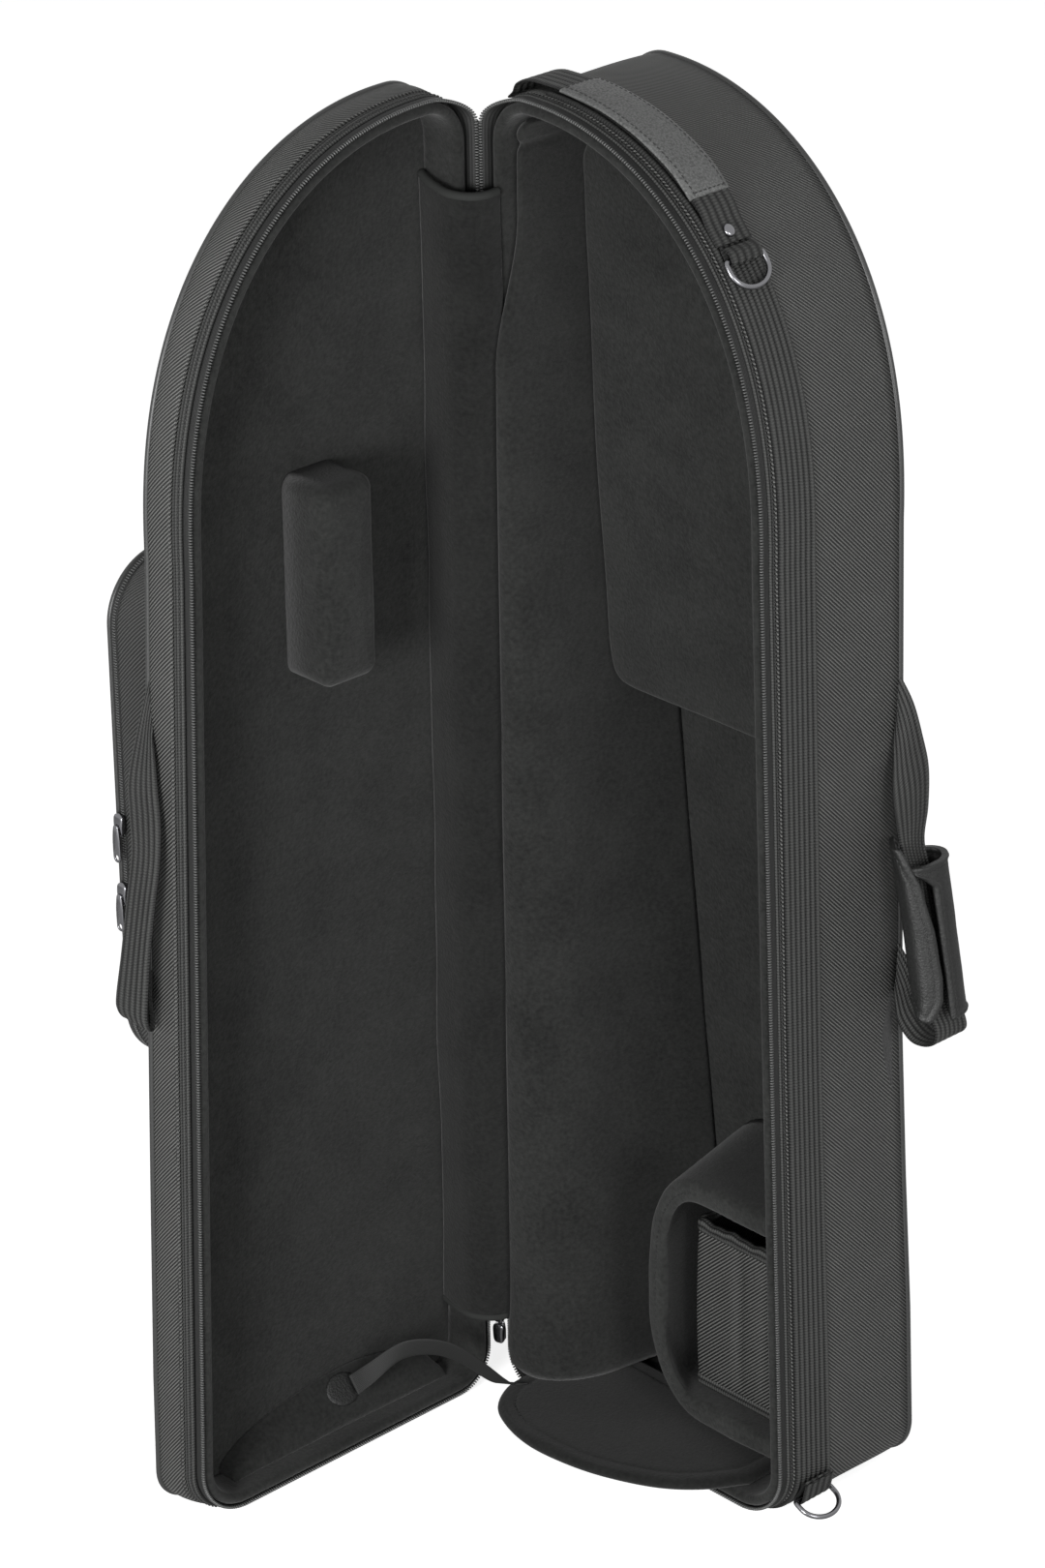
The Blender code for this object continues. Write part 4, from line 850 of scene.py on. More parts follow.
def dash_shape(sides=6):
    """Points (along, across, out) of a unit dash and its faces."""
    a = np.linspace(0, 2 * np.pi, sides, endpoint=False)
    rings = [(-0.5, 0.45), (-0.22, 1.0), (0.22, 1.0), (0.5, 0.45)]
    circles = [np.stack([np.full(sides, x), r * np.cos(a), r * np.sin(a)], axis=1) for x, r in rings]
    quads = []
    for low in range(0, (len(rings) - 1) * sides, sides):
        for j in range(sides):
            after = (j + 1) % sides
            quads.append((low + j, low + sides + j, low + sides + after, low + after))
    return np.concatenate(circles), np.array(quads), [np.arange(sides),
        np.arange(3 * sides, 4 * sides)[::-1]]


def copies(name, shape, centres, X, Y, Z, body, finish, stands_for=()):
    """One mesh with a shape repeated at centres, its axes given by the rows of X, Y and Z."""
    points, quads, ends = shape
    flat = (centres[:, None] + points[None, :, :1] * X[:, None] + points[None, :, 1:2] * Y[:, None]
            + points[None, :, 2:] * Z[:, None]).reshape(-1, 3)
    shift = (np.arange(len(centres)) * len(points))[:, None]
    signed = volume_of(points, quads) * np.sign((np.cross(X[0], Y[0]) * Z[0]).sum())
    if signed < 0:
        quads, ends = quads[:, ::-1], [end[::-1] for end in ends]
    loops = np.concatenate([(part.ravel()[None] + shift).ravel() for part in (quads, *ends)])
    counts = [(len(quads) * len(centres), 4)] + [(len(centres), len(end)) for end in ends]
    totals = np.concatenate([np.full(*count) for count in counts])
    mesh = write_mesh(name, flat, loops, totals, np.full(len(totals), True))
    return wear(name, mesh, body, finish, stands_for)


def stitches(name, path, out, body, pitch=STITCH_PITCH, length=STITCH_LENGTH, width=STITCH_WIDTH,
        closed=False):
    """A row of dashes along a path; out is the cloth's normal at each point of the path."""
    both = even(np.concatenate([path, np.broadcast_to(out, path.shape)], axis=1), step=pitch,
        closed=closed)
    centre, up = both[:, :3], unit(both[:, 3:])
    X = heading(centre, closed)
    Y = unit(np.cross(up, X))
    return copies(name, dash_shape(), centre, X * length, Y * width / 2, up * width / 2, body, thread)


def rim_stitches(name, half, back, depth, s, d, body):
    """A row of stitches round a wall at depth s and inset d."""
    q = wall_points(half, back, depth, np.array([d]), np.array([s]))[:, 0]
    inner = wall_points(half, back, depth, np.array([d + 0.01]), np.array([s]))[:, 0]
    return stitches(name, q, unit(q - inner), body, closed=True)


rim_stitches("base_facing_stitches", on_base, BASE_BACK, BASE_DEPTH, 0.0106, 0.0002, "base")
rim_stitches("lid_facing_stitches", on_lid, LID_BACK, LID_DEPTH, 0.0110, 0.0002, "lid")
rim_stitches("lid_wall_stitches", on_lid, LID_BACK, LID_DEPTH, 0.0205, -0.0001, "lid")
print("stitches", {k: v for k, v in MADE.items() if "stitch" in k})

# %% [markdown]
# ## The zip
# The teeth sit along each rim, 1.9 mm apart. Near the top of the spine the zip is still closed, so
# the two rows leave their rims, meet at a fork and run down together to the spine's padded panel.
# Each row is therefore a path in space that slides from the rim to a line in front of the hinge,
# and each tooth turns from pointing across its own wall to pointing at the other row.

# %% Zip rows
ZIP_PITCH = 0.0019
FORK_TOP, FORK_FOOT = 0.9485, 0.9260
CHAIN_END = 0.880
CHAIN = np.array([0.0036, -0.0036, 0.0])
MEET = unit(np.array([-1.0, -1.0, 0.0]))
TOOTH_REACH, TOOTH_INSET = 0.0013, 0.0024
TOOTH_SIZE = (0.0030, 0.00068, 0.0013)


def zip_line():
    """(u, z) and its inward normal from the foot of the spine round to the end of the closed stretch."""
    n = inward(RIM)
    both = np.concatenate([RIM, n], axis=1)
    on_spine = (both[:, 0] < HINGE_GAP + 1e-4)
    low = both[on_spine & (both[:, 1] < 0.0655)]
    low = low[np.argsort(-low[:, 1])]
    rest = both[~on_spine]
    first = np.argmin(np.abs(rest[:, 0] - HINGE_GAP) + np.abs(rest[:, 1] - SPINE_FOOT_RADIUS))
    high = both[on_spine & (both[:, 1] > CHAIN_END)]
    high = high[np.argsort(-high[:, 1])]
    return np.concatenate([low, rest[first:], rest[:first], high])


LINE = zip_line()


def zip_row(half, s, d, reach):
    """The row's points: the rim at depth s and inset d, sliding to the closed chain at the spine's top."""
    q = LINE[:, :2] + d * LINE[:, 2:]
    P = half(q[:, 0], np.full(len(q), s), q[:, 1])
    own = -MEET if half is on_base else MEET
    chain = CHAIN + own * reach + np.stack([0 * q[:, 1], 0 * q[:, 1], q[:, 1]], axis=1)
    share = ease((FORK_TOP - q[:, 1]) / (FORK_TOP - FORK_FOOT)) * (q[:, 0] < 0.042) * (q[:, 1] > 0.8)
    return P * (1 - share[:, None]) + chain * share[:, None], share


def teeth(name, half, body, phase):
    """Every other tooth of the zip, from phase; along the row X, across it, and Z square to both."""
    path, share = zip_row(half, 0.0019, TOOTH_INSET, TOOTH_REACH)
    rim_way = np.array([0.0, -1.0, 0.0]) if half is on_base else np.array([1.0, 0.0, 0.0])
    chain_way = MEET if half is on_base else -MEET
    way = (1 - share)[:, None] * rim_way + share[:, None] * chain_way
    both = even(np.concatenate([path, way], axis=1), step=ZIP_PITCH / 4)
    both = both[phase::4]
    centre, across = both[:, :3], unit(both[:, 3:])
    X = heading(centre)
    across = unit(across - (across * X).sum(1, keepdims=True) * X)
    Z = unit(np.cross(X, across))
    long, thin, tall = TOOTH_SIZE
    return copies(name, dash_shape(), centre, across * long, X * thin, Z * tall, body, moulded,
        [name.replace("_tooth_row", "_zip_teeth")])


def zip_band(name, half, body):
    """The woven tape from the teeth to the facing band, thin, following the row."""
    inner = zip_row(half, 0.0030, TOOTH_INSET, 2 * TOOTH_REACH)[0]
    q = LINE[:, :2] + 0.0019 * LINE[:, 2:]
    outer = half(q[:, 0], np.full(len(q), 0.0072), q[:, 1])
    t = np.linspace(0, 1, 5)[None, :, None]
    P = thick(inner[:, None] * (1 - t) + outer[:, None] * t, 0.0011, 2)
    return skin(name, P, body, tape, [name.replace("_woven_tape", "_zip_tape")])


teeth("base_tooth_row", on_base, "base", 0)
teeth("lid_tooth_row", on_lid, "lid", 2)
zip_band("base_woven_tape", on_base, "base")
zip_band("lid_woven_tape", on_lid, "lid")
print("zip", {k: v for k, v in MADE.items() if "tooth" in k or "tape" in k})

# %% [markdown]
# ## The padded walls and broad sides inside
# Foam under velour lines both halves. At the zip the wall ends in a full round lip, which is the
# padded rim that the photograph shows beside the teeth.

# %% Linings
LIP_STEPS, LIP_START, LIP_FULL = 9, 0.0004, 1.1


def wall_lining(name, half, depth, body):
    """Section: outer face, full round lip at the zip, inner face with a slight crown, and the far edge."""
    far = depth - BOARD - FIT - PADDING
    near_d, far_d = BOARD + FIT, INNER
    r = (far_d - near_d) / 2
    a = np.linspace(-np.pi / 2, np.pi / 2, LIP_STEPS)
    lip_d = near_d + r + r * np.sin(a)
    lip_s = LIP_START + r * LIP_FULL * (1 - np.cos(a))
    t = np.linspace(0.1, 1, 8)
    D = np.concatenate([lip_d, far_d + 0.0006 * np.sin(np.pi * t), [near_d]])
    S = np.concatenate([lip_s, lip_s[-1] + (far - lip_s[-1]) * t, [far]])
    D = np.tile(D, (RIM_COUNT, 1))
    P = wall_points(half, RIM, depth, D, S)
    D[:, LIP_STEPS:-1] += ripple(P[:, LIP_STEPS:-1], 0.09, 0.0004, 21)
    P = wall_points(half, RIM, depth, D, S)
    return skin(name, P, body, velour, [name.replace("_padded_wall", "_wall_lining")],
        wrap=(True, True))


def side_lining(name, half, depth, body, flat_uv):
    """The padding on the inside of a broad side."""
    outline = thin_out(RIM) + INNER * 0.6 * inward(thin_out(RIM))
    face = depth - BOARD - FIT - PADDING
    P = pad_over(outline, SIDE_CENTRE, round_levels(face - 0.0002, face + PADDING, 0.002, -0.0004), half)
    axis = 1 if half is on_base else 0
    near = np.abs(np.abs(P[..., axis]) - face) < 0.003
    P[..., axis] += ripple(P, 0.16, 0.0006, 31) * near
    return skin(name, P, body, velour,
        [name.replace("_padded_side", "_panel_lining")], wrap=(True, False), flat_uv=flat_uv)


wall_lining("base_padded_wall", on_base, BASE_DEPTH, "base")
wall_lining("lid_padded_wall", on_lid, LID_DEPTH, "lid")
side_lining("base_padded_side", on_base, BASE_DEPTH, "base", (0, 2))
side_lining("lid_padded_side", on_lid, LID_DEPTH, "lid", (1, 2))

# %% [markdown]
# ## The webbing band
# Heavy webbing with thick cord-like ribs is sewn round the deep half, from the top of the dome down
# the free edge to the foot. Its section is a row of round ribs; the weave between them is in the
# material.

# %% Webbing band
BAND_START, BAND_WIDTH, BAND_THICK = 0.0135, 0.033, 0.0022
RIB_COUNT = 7


def rib_profile(steps_per_rib=6, ribs=RIB_COUNT, depth=0.0011):
    """(share across, dip): round ribs side by side, |sin| with its power below one."""
    t = np.linspace(0, 1, ribs * steps_per_rib + 1)
    return t, depth * (1 - np.abs(np.sin(np.pi * ribs * t)) ** 0.6)


def webbing_band():
    """The band's stretch of the rim, from the foot's round corner to the dome's peak."""
    start = np.argmax((RIM[:, 0] > FOOT_WIDTH - FREE_FOOT_RADIUS * 0.8) & (RIM[:, 1] < 0.02))
    end = np.argmax((RIM[:, 1] > 0.9) & (RIM[:, 0] < DOME_PEAK_U + 0.0005))
    t, dip = rib_profile()
    D = np.concatenate([-(FIT + BAND_THICK) + dip, [0.0004, 0.0004]])
    S = np.concatenate([BAND_START + BAND_WIDTH * t, [BAND_START + BAND_WIDTH, BAND_START]])
    P = wall_points(on_base, BASE_BACK, BASE_DEPTH, D, S)[start:end]
    place = np.concatenate([BAND_WIDTH * t, [BAND_WIDTH, 0, 0]])
    return skin("base_ribbed_band", P, "base", band_webbing, ["base_webbing_band"],
        across=place)


webbing_band()
print("band", MADE["base_ribbed_band"])

# %% [markdown]
# ## Padded pieces of the deep half
# The tall partition keeps the slide apart from the bell. It is one soft body with a big round nose:
# its section is drawn at each height and smoothed, then carried up the spine. The nose draws
# back near the top. The same formulas shaped the solid, so the skin lies on it.

# %% Partition
PARTITION_TOP, PARTITION_FOOT = HEIGHT - 0.0225, 0.0206
PAD_SIDE, BELL_PAD_FOOT, BELL_PAD_FACE = 0.0486, 0.535, 0.062
NOSE_FOOT_Z, NOSE_TAPER = 0.804 * HEIGHT, 0.10
BASE_INSIDE = BASE_DEPTH - INNER
KNOB_Z, KNOB_SWELL, KNOB_CREASE = PARTITION_TOP - 0.005, 0.0045, 0.0040
BASE_FRONT_Y = on_base(0.0, 0.0, 0.0)[1]


def spine_side(z):
    """Just clear of the padded wall beside the spine, also where its corners turn."""
    for radius, off in ((SPINE_FOOT_RADIUS, SPINE_FOOT_RADIUS - z),
            (SPINE_TOP_RADIUS, z - HEIGHT + SPINE_TOP_RADIUS)):
        if off > 0:
            return HINGE_GAP + radius - math.sqrt((radius - INNER) ** 2 - off**2) + 2 * FIT
    return HINGE_GAP + INNER + FIT


def side_by_pad(z):
    """The partition's far side, which draws in towards the top along the bell pad."""
    return max(PAD_SIDE - 0.066 * (z - BELL_PAD_FOOT), spine_side(z) + 0.0095)


def partition_ring(z):
    """The partition's section at a height as (u, s) points, from its back corner round the nose."""
    crown = max(0.0, (z - HEIGHT + 0.055) / (PARTITION_TOP - HEIGHT + 0.055)) ** 2
    left = spine_side(z)
    front = -0.010 + 0.021 * float(ease((z - NOSE_FOOT_Z) / NOSE_TAPER)) + 0.004 * crown
    front -= 0.0025 * hump(z, 0.045, 0.018)
    side = side_by_pad(z)
    low = 0.0655 + 0.109 * (HEIGHT / 2 - max(z, 0.175))
    behind = side + (low - side) * float(ease((BELL_PAD_FOOT - z) / 0.02))
    right = side - 0.001
    reach = BELL_PAD_FACE - front
    ring = [(left, BASE_INSIDE), (left, 0.5 * (front + BASE_INSIDE)), (left, front + 0.026),
        (left, front + 0.012)]
    for a in np.radians((205, 235, 265)):
        ring.append((left + 0.0075 + 0.0075 * math.cos(a), front + 0.0075 + 0.0075 * math.sin(a)))
    for a in np.radians(np.linspace(78, 6, 7)):
        ring.append((left + 0.007 + (right - left - 0.007) * math.cos(a) ** 0.9,
            front + reach * (1 - math.sin(a))))
    ring += [(side + 0.3 * (behind - side), BELL_PAD_FACE + 0.02), (0.3 * side + 0.7 * behind, 0.1),
        (behind, BASE_INSIDE)]
    return ring


def partition():
    """Rings up the spine; the last few shrink to give the top and the foot a soft round end."""
    rings = []
    neck = PARTITION_TOP - 0.05
    heights = [np.linspace(PARTITION_FOOT, neck, 130), np.linspace(neck, PARTITION_TOP, 41)[1:]]
    for z in np.concatenate(heights):
        ring = even(spline(partition_ring(z), 8), 64)
        rings.append(on_base(ring[:, 0], ring[:, 1], z))
    P = np.stack(rings)
    z = P[..., 2]
    middle = P.mean(axis=1, keepdims=True)
    for end, height in ((PARTITION_TOP, 0.010), (PARTITION_FOOT, 0.006)):
        near = np.clip(1 - np.abs(z - end) / height, 0, 1)
        P = P + (middle - P) * (0.16 * (1 - np.sqrt(np.clip(1 - near**2, 0, 1))))[..., None] * [1, 0.4, 0]
    fold = KNOB_SWELL * hump(z, KNOB_Z, 0.008) - KNOB_CREASE * hump(z, KNOB_Z - 0.011, 0.0032)
    nose = np.clip((0.062 + BASE_FRONT_Y - P[..., 1]) / 0.03, 0, 1)
    P += (fold * nose)[..., None] * [0.25, -0.9, 0]
    free = np.clip((0.116 - P[..., 1]) / 0.02, 0, 1)
    P += (ripple(P, 0.12, 0.0005, 41) * free)[..., None] * [0.7, -0.7, 0]
    return skin("partition_cover", P, "base", velour, ["slide_partition"])


partition()

# %% [markdown]
# ## The bell pad and the collar
# The bell pad is a slab with a broad soft edge, cut to follow the dome. The collar is an arch: a
# superellipse outside and a squarer one inside, carried from near the zip to the back. Both front
# edges are padded round, so the rings near the front shrink the wall of the arch like a quarter
# circle.

# %% Bell pad
def bell_pad():
    """Its outline follows the dome, the partition, a round corner and a level foot."""
    edge = RIM + (INNER + FIT + 0.0004) * inward(RIM)
    low, far = BELL_PAD_FOOT, width_at(BELL_PAD_FOOT) - INNER
    above = [tuple(q) for q in edge[::6] if q[1] > low + 0.03 and q[0] > side_by_pad(q[1]) + 0.006]
    left = [(side_by_pad(z) + 0.0012, z) for z in np.linspace(0.90, low + 0.03, 18)]
    corner = [(PAD_SIDE + x, low + z) for x, z in ((0.0024, 0.014), (0.006, 0.004), (0.015, 0.0004))]
    foot = [(x, low + 0.0002) for x in np.linspace(0.08, far - 0.012, 8)]
    right = [(far - 0.003, low + 0.002), (far - 0.0008, low + 0.010)]
    outline = even(spline(right + above + left + corner + foot, 4, closed=True), 420, closed=True)
    for _ in range(14):
        outline = (np.roll(outline, 1, axis=0) + 2 * outline + np.roll(outline, -1, axis=0)) / 4
    levels = round_levels(BELL_PAD_FACE, BASE_INSIDE - FIT, 0.0045, 0.0015, 7)
    P = pad_over(outline, np.array([0.14, 0.72]), levels, on_base)
    P[..., 1] += ripple(P, 0.14, 0.0007, 43) * (P[..., 1] < BELL_PAD_FACE + 0.004)
    return skin("bell_cushion", P, "base", velour, ["bell_pad"], wrap=(True, False),
        flat_uv=(0, 2))


bell_pad()

# %% Collar
COLLAR_TOP, COLLAR_FOOT, COLLAR_WALL, COLLAR_ROUND = 0.220, 0.032, 0.018, 0.0545


def half_oval(centre, wide, tall, power, count):
    """The left half of a superellipse, from its top down to its foot."""
    a = np.linspace(0, np.pi, count)
    x = np.abs(np.sin(a)) ** (2 / power)
    z = np.sign(np.cos(a)) * np.abs(np.cos(a)) ** (2 / power)
    return np.stack([centre[0] - wide * x, centre[1] + tall * z], axis=1)


def collar_ring(share, shrink, power=8.0):
    """The arch's section at a share of its depth, its wall thinned by shrink on both sides."""
    middle = ((0.1255 + COLLAR_ROUND - 0.0225 * share), (COLLAR_TOP + COLLAR_FOOT) / 2)
    tall = (COLLAR_TOP - COLLAR_FOOT) / 2
    outer = half_oval(middle, COLLAR_ROUND - shrink, tall - shrink, 2.4, 61)
    room = half_oval(middle, COLLAR_ROUND - COLLAR_WALL + shrink, tall - COLLAR_WALL + shrink, power, 61)
    ends = [width_at(z) - INNER - 2 * FIT for z in (outer[0, 1], room[0, 1], room[-1, 1], outer[-1, 1])]
    top = line(outer[0] + [ends[0] - outer[0, 0], 0], outer[0], 12)[:-1]
    foot = line(outer[-1], [ends[3] - 0.002, outer[-1, 1]], 12)[1:]
    room_foot = line([ends[2], room[-1, 1]], room[-1], 12)[:-1]
    room_top = line(room[0], [ends[1], room[0, 1]], 12)[1:]
    return np.concatenate([top, outer, foot, room_foot, room[::-1], room_top])


def collar():
    """Stations along the arch; at each, outside from the back, round the lip, and inside to the back."""
    depth = BASE_INSIDE - FIT - 0.02
    lip = COLLAR_WALL / 3
    a = np.linspace(0, np.pi / 2, 8)
    shrinks = np.concatenate([lip * (1 - np.sin(a)), np.zeros(12)])
    steps = np.concatenate([lip * (1 - np.cos(a)), np.linspace(lip, depth, 13)[1:]])
    rings = []
    for step, shrink in zip(steps, shrinks):
        q = collar_ring(step / depth, shrink, 2.4 + 5.6 * float(ease(step / 0.016)))
        rings.append(on_base(q[:, 0], 0.02 + step, q[:, 1]))
    rings = np.stack(rings, axis=1)
    half = len(rings) // 2
    P = np.concatenate([rings[:half, ::-1], rings[half:][::-1]], axis=1)
    P[..., 1] -= ripple(P, 0.05, 0.0006, 47) * (P[..., 1] < 0.03)
    # The collar's velour is the lighter copy: painted light.
    obj = skin("collar_cover", P, "base", velour_painted_light, ["accessory_collar"])
    q = collar_ring(0.0, 0.5 * COLLAR_WALL, 2.4)[11:72]
    path = on_base(q[:, 0], 0.0199, q[:, 1])
    path[:, 1] -= ripple(path, 0.05, 0.0006, 47)
    stitches("collar_stitches", path[2:-2], np.array([0, -1.0, 0]), "base", pitch=0.0042, width=0.0007)


collar()

# %% [markdown]
# ## Flap, pouch and lid pads
# The end flap is a thin cushion with a sewn border, so its top sinks a little along a line eleven
# millimetres from its edge. The pouch is a plain open box of twill whose mouth and foot are bound
# with folded tape. In the lid sit a firm block and a crowned floor pad.

# %% End flap
FLAP_FLOOR = INNER + FIT
FLAP_THICKNESS, FLAP_SEAM = 0.008, 0.0112
FLAP_RINGS = (0.086, 0.075, 0.065, 0.055, 0.04, 0.028, 0.019, 0.0145, 0.0125, 0.0115, 0.0105, 0.0095,
    0.007, 0.0045)
FLAP_FRONT = [
    (0.0315, 0.0), (0.0325, -0.022), (0.042, -0.041), (0.056, -0.052), (0.082, -0.0605),
    (0.110, -0.062), (0.150, -0.055), (0.190, -0.038), (0.216, -0.016), (0.234, 0.012)]


def flap_outline():
    """The flap's (x, y) outline: its curved front edge, then the straight sides in the base."""
    front = [tuple(q) for q in spline(FLAP_FRONT, 8)]
    side = [(0.234, y) for y in (0.02, 0.035, 0.05)]
    back = [(x, 0.066) for x in np.linspace(0.229, 0.0365, 12)]
    left = [(0.0315, y) for y in (0.061, 0.045, 0.03, 0.015)]
    return even(np.array(front + side + back + left), 320, closed=True)


def drawn_in(outline, inset):
    """The outline moved inwards and smoothed as far as it moved, so that no corner crosses itself."""
    q = outline + inset * inward(outline)
    for _ in range(int(inset * 4000)):
        q = 0.5 * q + 0.25 * (np.roll(q, 1, axis=0) + np.roll(q, -1, axis=0))
    return q


def end_flap():
    """Rings from the middle of the top, over the round edge, to the middle of the underside."""
    outline = flap_outline()
    n = inward(outline)
    centre = np.array([0.125, 0.005])
    r = FLAP_THICKNESS / 2
    rows = []
    for inset in FLAP_RINGS:
        q = drawn_in(outline, min(inset, 0.012))
        q = q + (centre - q) * np.clip((inset - 0.012) / 0.075, 0, 1)
        groove = 0.0006 * hump(inset, FLAP_SEAM, 0.0013)
        rows.append((q, r - groove + 0.0008 * min(inset / 0.04, 1)))
    for a in np.linspace(0.25, np.pi - 0.25, 9):
        rows.append((outline + n * r * (1 - math.sin(a)), r * math.cos(a)))
    rows += [(outline + n * 0.006, -r), (outline + (centre - outline) * 0.9, -r)]
    P = np.stack([at_height(q, FLAP_FLOOR + r + h) for q, h in rows], axis=1)
    top = len(FLAP_RINGS)
    P[:, :top, 2] += ripple(P[:, :top], 0.07, 0.0005, 51)
    # The flap's velour is the darker copy: painted shade.
    obj = skin("flap_cushion", P, "end_flap", velour_painted_shade, ["end_flap"], wrap=(True, False),
        flat_uv=(0, 1))
    q = drawn_in(outline, FLAP_SEAM)
    path = at_height(q, FLAP_FLOOR + FLAP_THICKNESS - SEAM_SINK)
    stitches("flap_stitches", path, np.array([0, 0, 1.0]), "end_flap", pitch=0.0040, width=0.0007,
        closed=True)


end_flap()

# %% Pouch
POUCH_LOW = np.array([0.1575, 0.037, 0.0])
POUCH_HIGH = np.array([0.240, 0.093, 0.0])
POUCH_FLOOR = COLLAR_FOOT + COLLAR_WALL + 0.001
POUCH_HEIGHT, POUCH_WALL, BINDING = 0.124, 0.004, 0.0022


def round_box(low, high, radius, count=96, corner=8):
    """A rectangle with round corners of some points each, read evenly."""
    x0, y0, x1, y1 = low[0] + radius, low[1] + radius, high[0] - radius, high[1] - radius
    centres = ((x1, y0), (x1, y1), (x0, y1), (x0, y0))
    arcs = [arc(c, radius, 90 * k - 90, 90 * k, corner) for k, c in enumerate(centres)]
    return even(np.concatenate(arcs), count, closed=True)


def pouch():
    """A pocket of cloth: up the outside, over the mouth, down the inside to its bottom."""
    foot, top = POUCH_FLOOR + BINDING, POUCH_FLOOR + POUCH_HEIGHT
    rows = [(0.02, foot)]
    rows += [(0.0, z) for z in np.linspace(foot, top, 14)]
    rows += [(POUCH_WALL * 0.5, top + 0.001)]
    rows += [(POUCH_WALL, z) for z in np.linspace(top, foot + POUCH_WALL, 14)]
    rows += [(0.022, foot + POUCH_WALL)]
    rings = []
    for inset, z in rows:
        q = round_box(POUCH_LOW + inset, POUCH_HIGH - inset, max(0.005 - inset, 0.001))
        rings.append(at_height(q, z))
    P = np.stack(rings)
    sag = np.sin(np.pi * np.clip((P[..., 2] - foot) / (top - foot), 0, 1))
    middle = P.mean(axis=1, keepdims=True)
    P[..., :2] += (unit(P - middle) * (0.0007 * sag)[..., None])[..., :2]
    wide = (P[..., 0] - P[..., 0].min()) / (P[..., 0].max() - P[..., 0].min())
    front = np.clip((P[..., 1].min() + 0.012 - P[..., 1]) / 0.006, 0, 1) * sag ** 0.5
    crease = -0.0035 * hump(wide, 0.50, 0.05) - 0.0025 * hump(wide, 0.78, 0.05)
    P[..., 1] -= front * (0.0016 + crease)
    skin("pouch_cloth", P, "pouch", twill_back, ["pouch_body"])


def bound_edge(name, low, high, wave, body, stands_for):
    """A folded tape round the pouch; its upper edge may wave a little."""
    q = round_box(POUCH_LOW, POUCH_HIGH, 0.005, 200)
    n = inward(q)
    run = lengths(q[None], 1)[:-1]
    crest = wave * np.sin(2 * np.pi * run / 0.013) * 0.6 + wave * np.sin(2 * np.pi * run / 0.031)
    t = np.linspace(0, 1, 7)
    full = [(0.0010 * math.sin(math.pi * x) ** 0.4, x) for x in t]
    section = [(-0.0003 - d, x) for d, x in full] + [(0.0044 + d, x) for d, x in full[::-1]]
    rows = []
    for d, x in section:
        ring = q + d * n
        rows.append(np.concatenate([ring, (low + (high - low) * x + crest * x)[:, None]], axis=1))
    skin(name, np.stack(rows, axis=1), body, band_webbing, stands_for, wrap=(True, True))


pouch()
bound_edge("pouch_mouth_binding", POUCH_FLOOR + POUCH_HEIGHT - 0.0045,
    POUCH_FLOOR + POUCH_HEIGHT + 0.0045, 0.0008, "pouch", ["pouch_top_binding"])
bound_edge("pouch_base_binding", POUCH_FLOOR, POUCH_FLOOR + 0.0075, 0.0, "pouch", ["pouch_foot_binding"])

# %% Lid block and floor pad
def lid_block():
    """A box of firm foam with round edges, its face slightly full."""
    q = round_box(np.array([0.100, 0.578]), np.array([0.146, 0.718]), 0.010, 200)
    levels = round_levels(-0.007, LID_DEPTH - INNER - FIT, 0.010, 0.0022, 12,
        (0.02, 0.15, 0.3, 0.45, 0.6, 0.7, 0.8, 0.88, 0.94, 0.98))
    P = pad_over(q, np.array([0.123, 0.648]), levels, on_lid)
    P[..., 0] += ripple(P, 0.05, 0.0003, 61) * (P[..., 0] > 0)
    return skin("block_cover", P, "lid", velour, ["lid_block"], wrap=(True, False),
        flat_uv=(1, 2))


LID_INSIDE = LID_DEPTH - INNER - FIT
PAD_LEFT, PAD_RIGHT, PAD_FRONT = 0.0375, 0.2325, 0.0148


def pad_height(share, s):
    """Height of the floor pad's top at a share of its length and a depth into the lid."""
    rise = (s - PAD_FRONT) / (LID_INSIDE - PAD_FRONT)
    peak = 0.011 + 0.024 * rise - 0.004
    return INNER + FIT + 0.004 + peak * np.sin(np.pi * np.clip(share, 0, 1) ** 0.85).clip(0) ** 0.6


def floor_pad():
    """Arched sections along the floor pad's length, with a soft front edge."""
    floor = INNER + FIT
    share = 0.5 - 0.5 * np.cos(np.linspace(0.02, np.pi - 0.02, 60))
    rows = []
    for u_share in share:
        u = PAD_LEFT + (PAD_RIGHT - PAD_LEFT) * u_share
        s = np.linspace(PAD_FRONT, LID_INSIDE, 14)
        top = pad_height(u_share, s)
        soft = 0.006 * np.clip(1 - (s - PAD_FRONT) / 0.006, 0, 1) ** 2
        top = np.maximum(top - np.minimum(soft, 0.75 * (top - floor)), floor + 0.0012)
        under = [(LID_INSIDE, floor), ((PAD_FRONT + LID_INSIDE) / 2, floor)]
        section = np.array([(PAD_FRONT, floor), *zip(s, top), *under])
        rows.append(on_lid(u, section[:, 0], section[:, 1]))
    P = np.stack(rows)
    P[:, 1:15, 2] += ripple(P[:, 1:15], 0.06, 0.0006, 63)
    return skin("floor_cushion", P, "lid", velour, ["lid_floor_pad"], flat_uv=(0, 1))


lid_block()
floor_pad()

# %% [markdown]
# ## The pull ribbon
# A small oval patch on the lid's floor pad holds a flat ribbon. It crosses the foot of the hinge,
# twists on edge in the gap, and ends under the corner of the end flap. It is one sheet sewn to both
# halves, which stays where it is built and is attached to neither.

# %% Patch and ribbon
def between(lid_edge, base_edge):
    """The lid, the base and where each takes over, for a piece sewn to both halves; wear attaches such a
    piece to neither body.
    """
    return "lid", "base", tuple(np.array(lid_edge) + HINGE), tuple(np.array(base_edge) + HINGE)


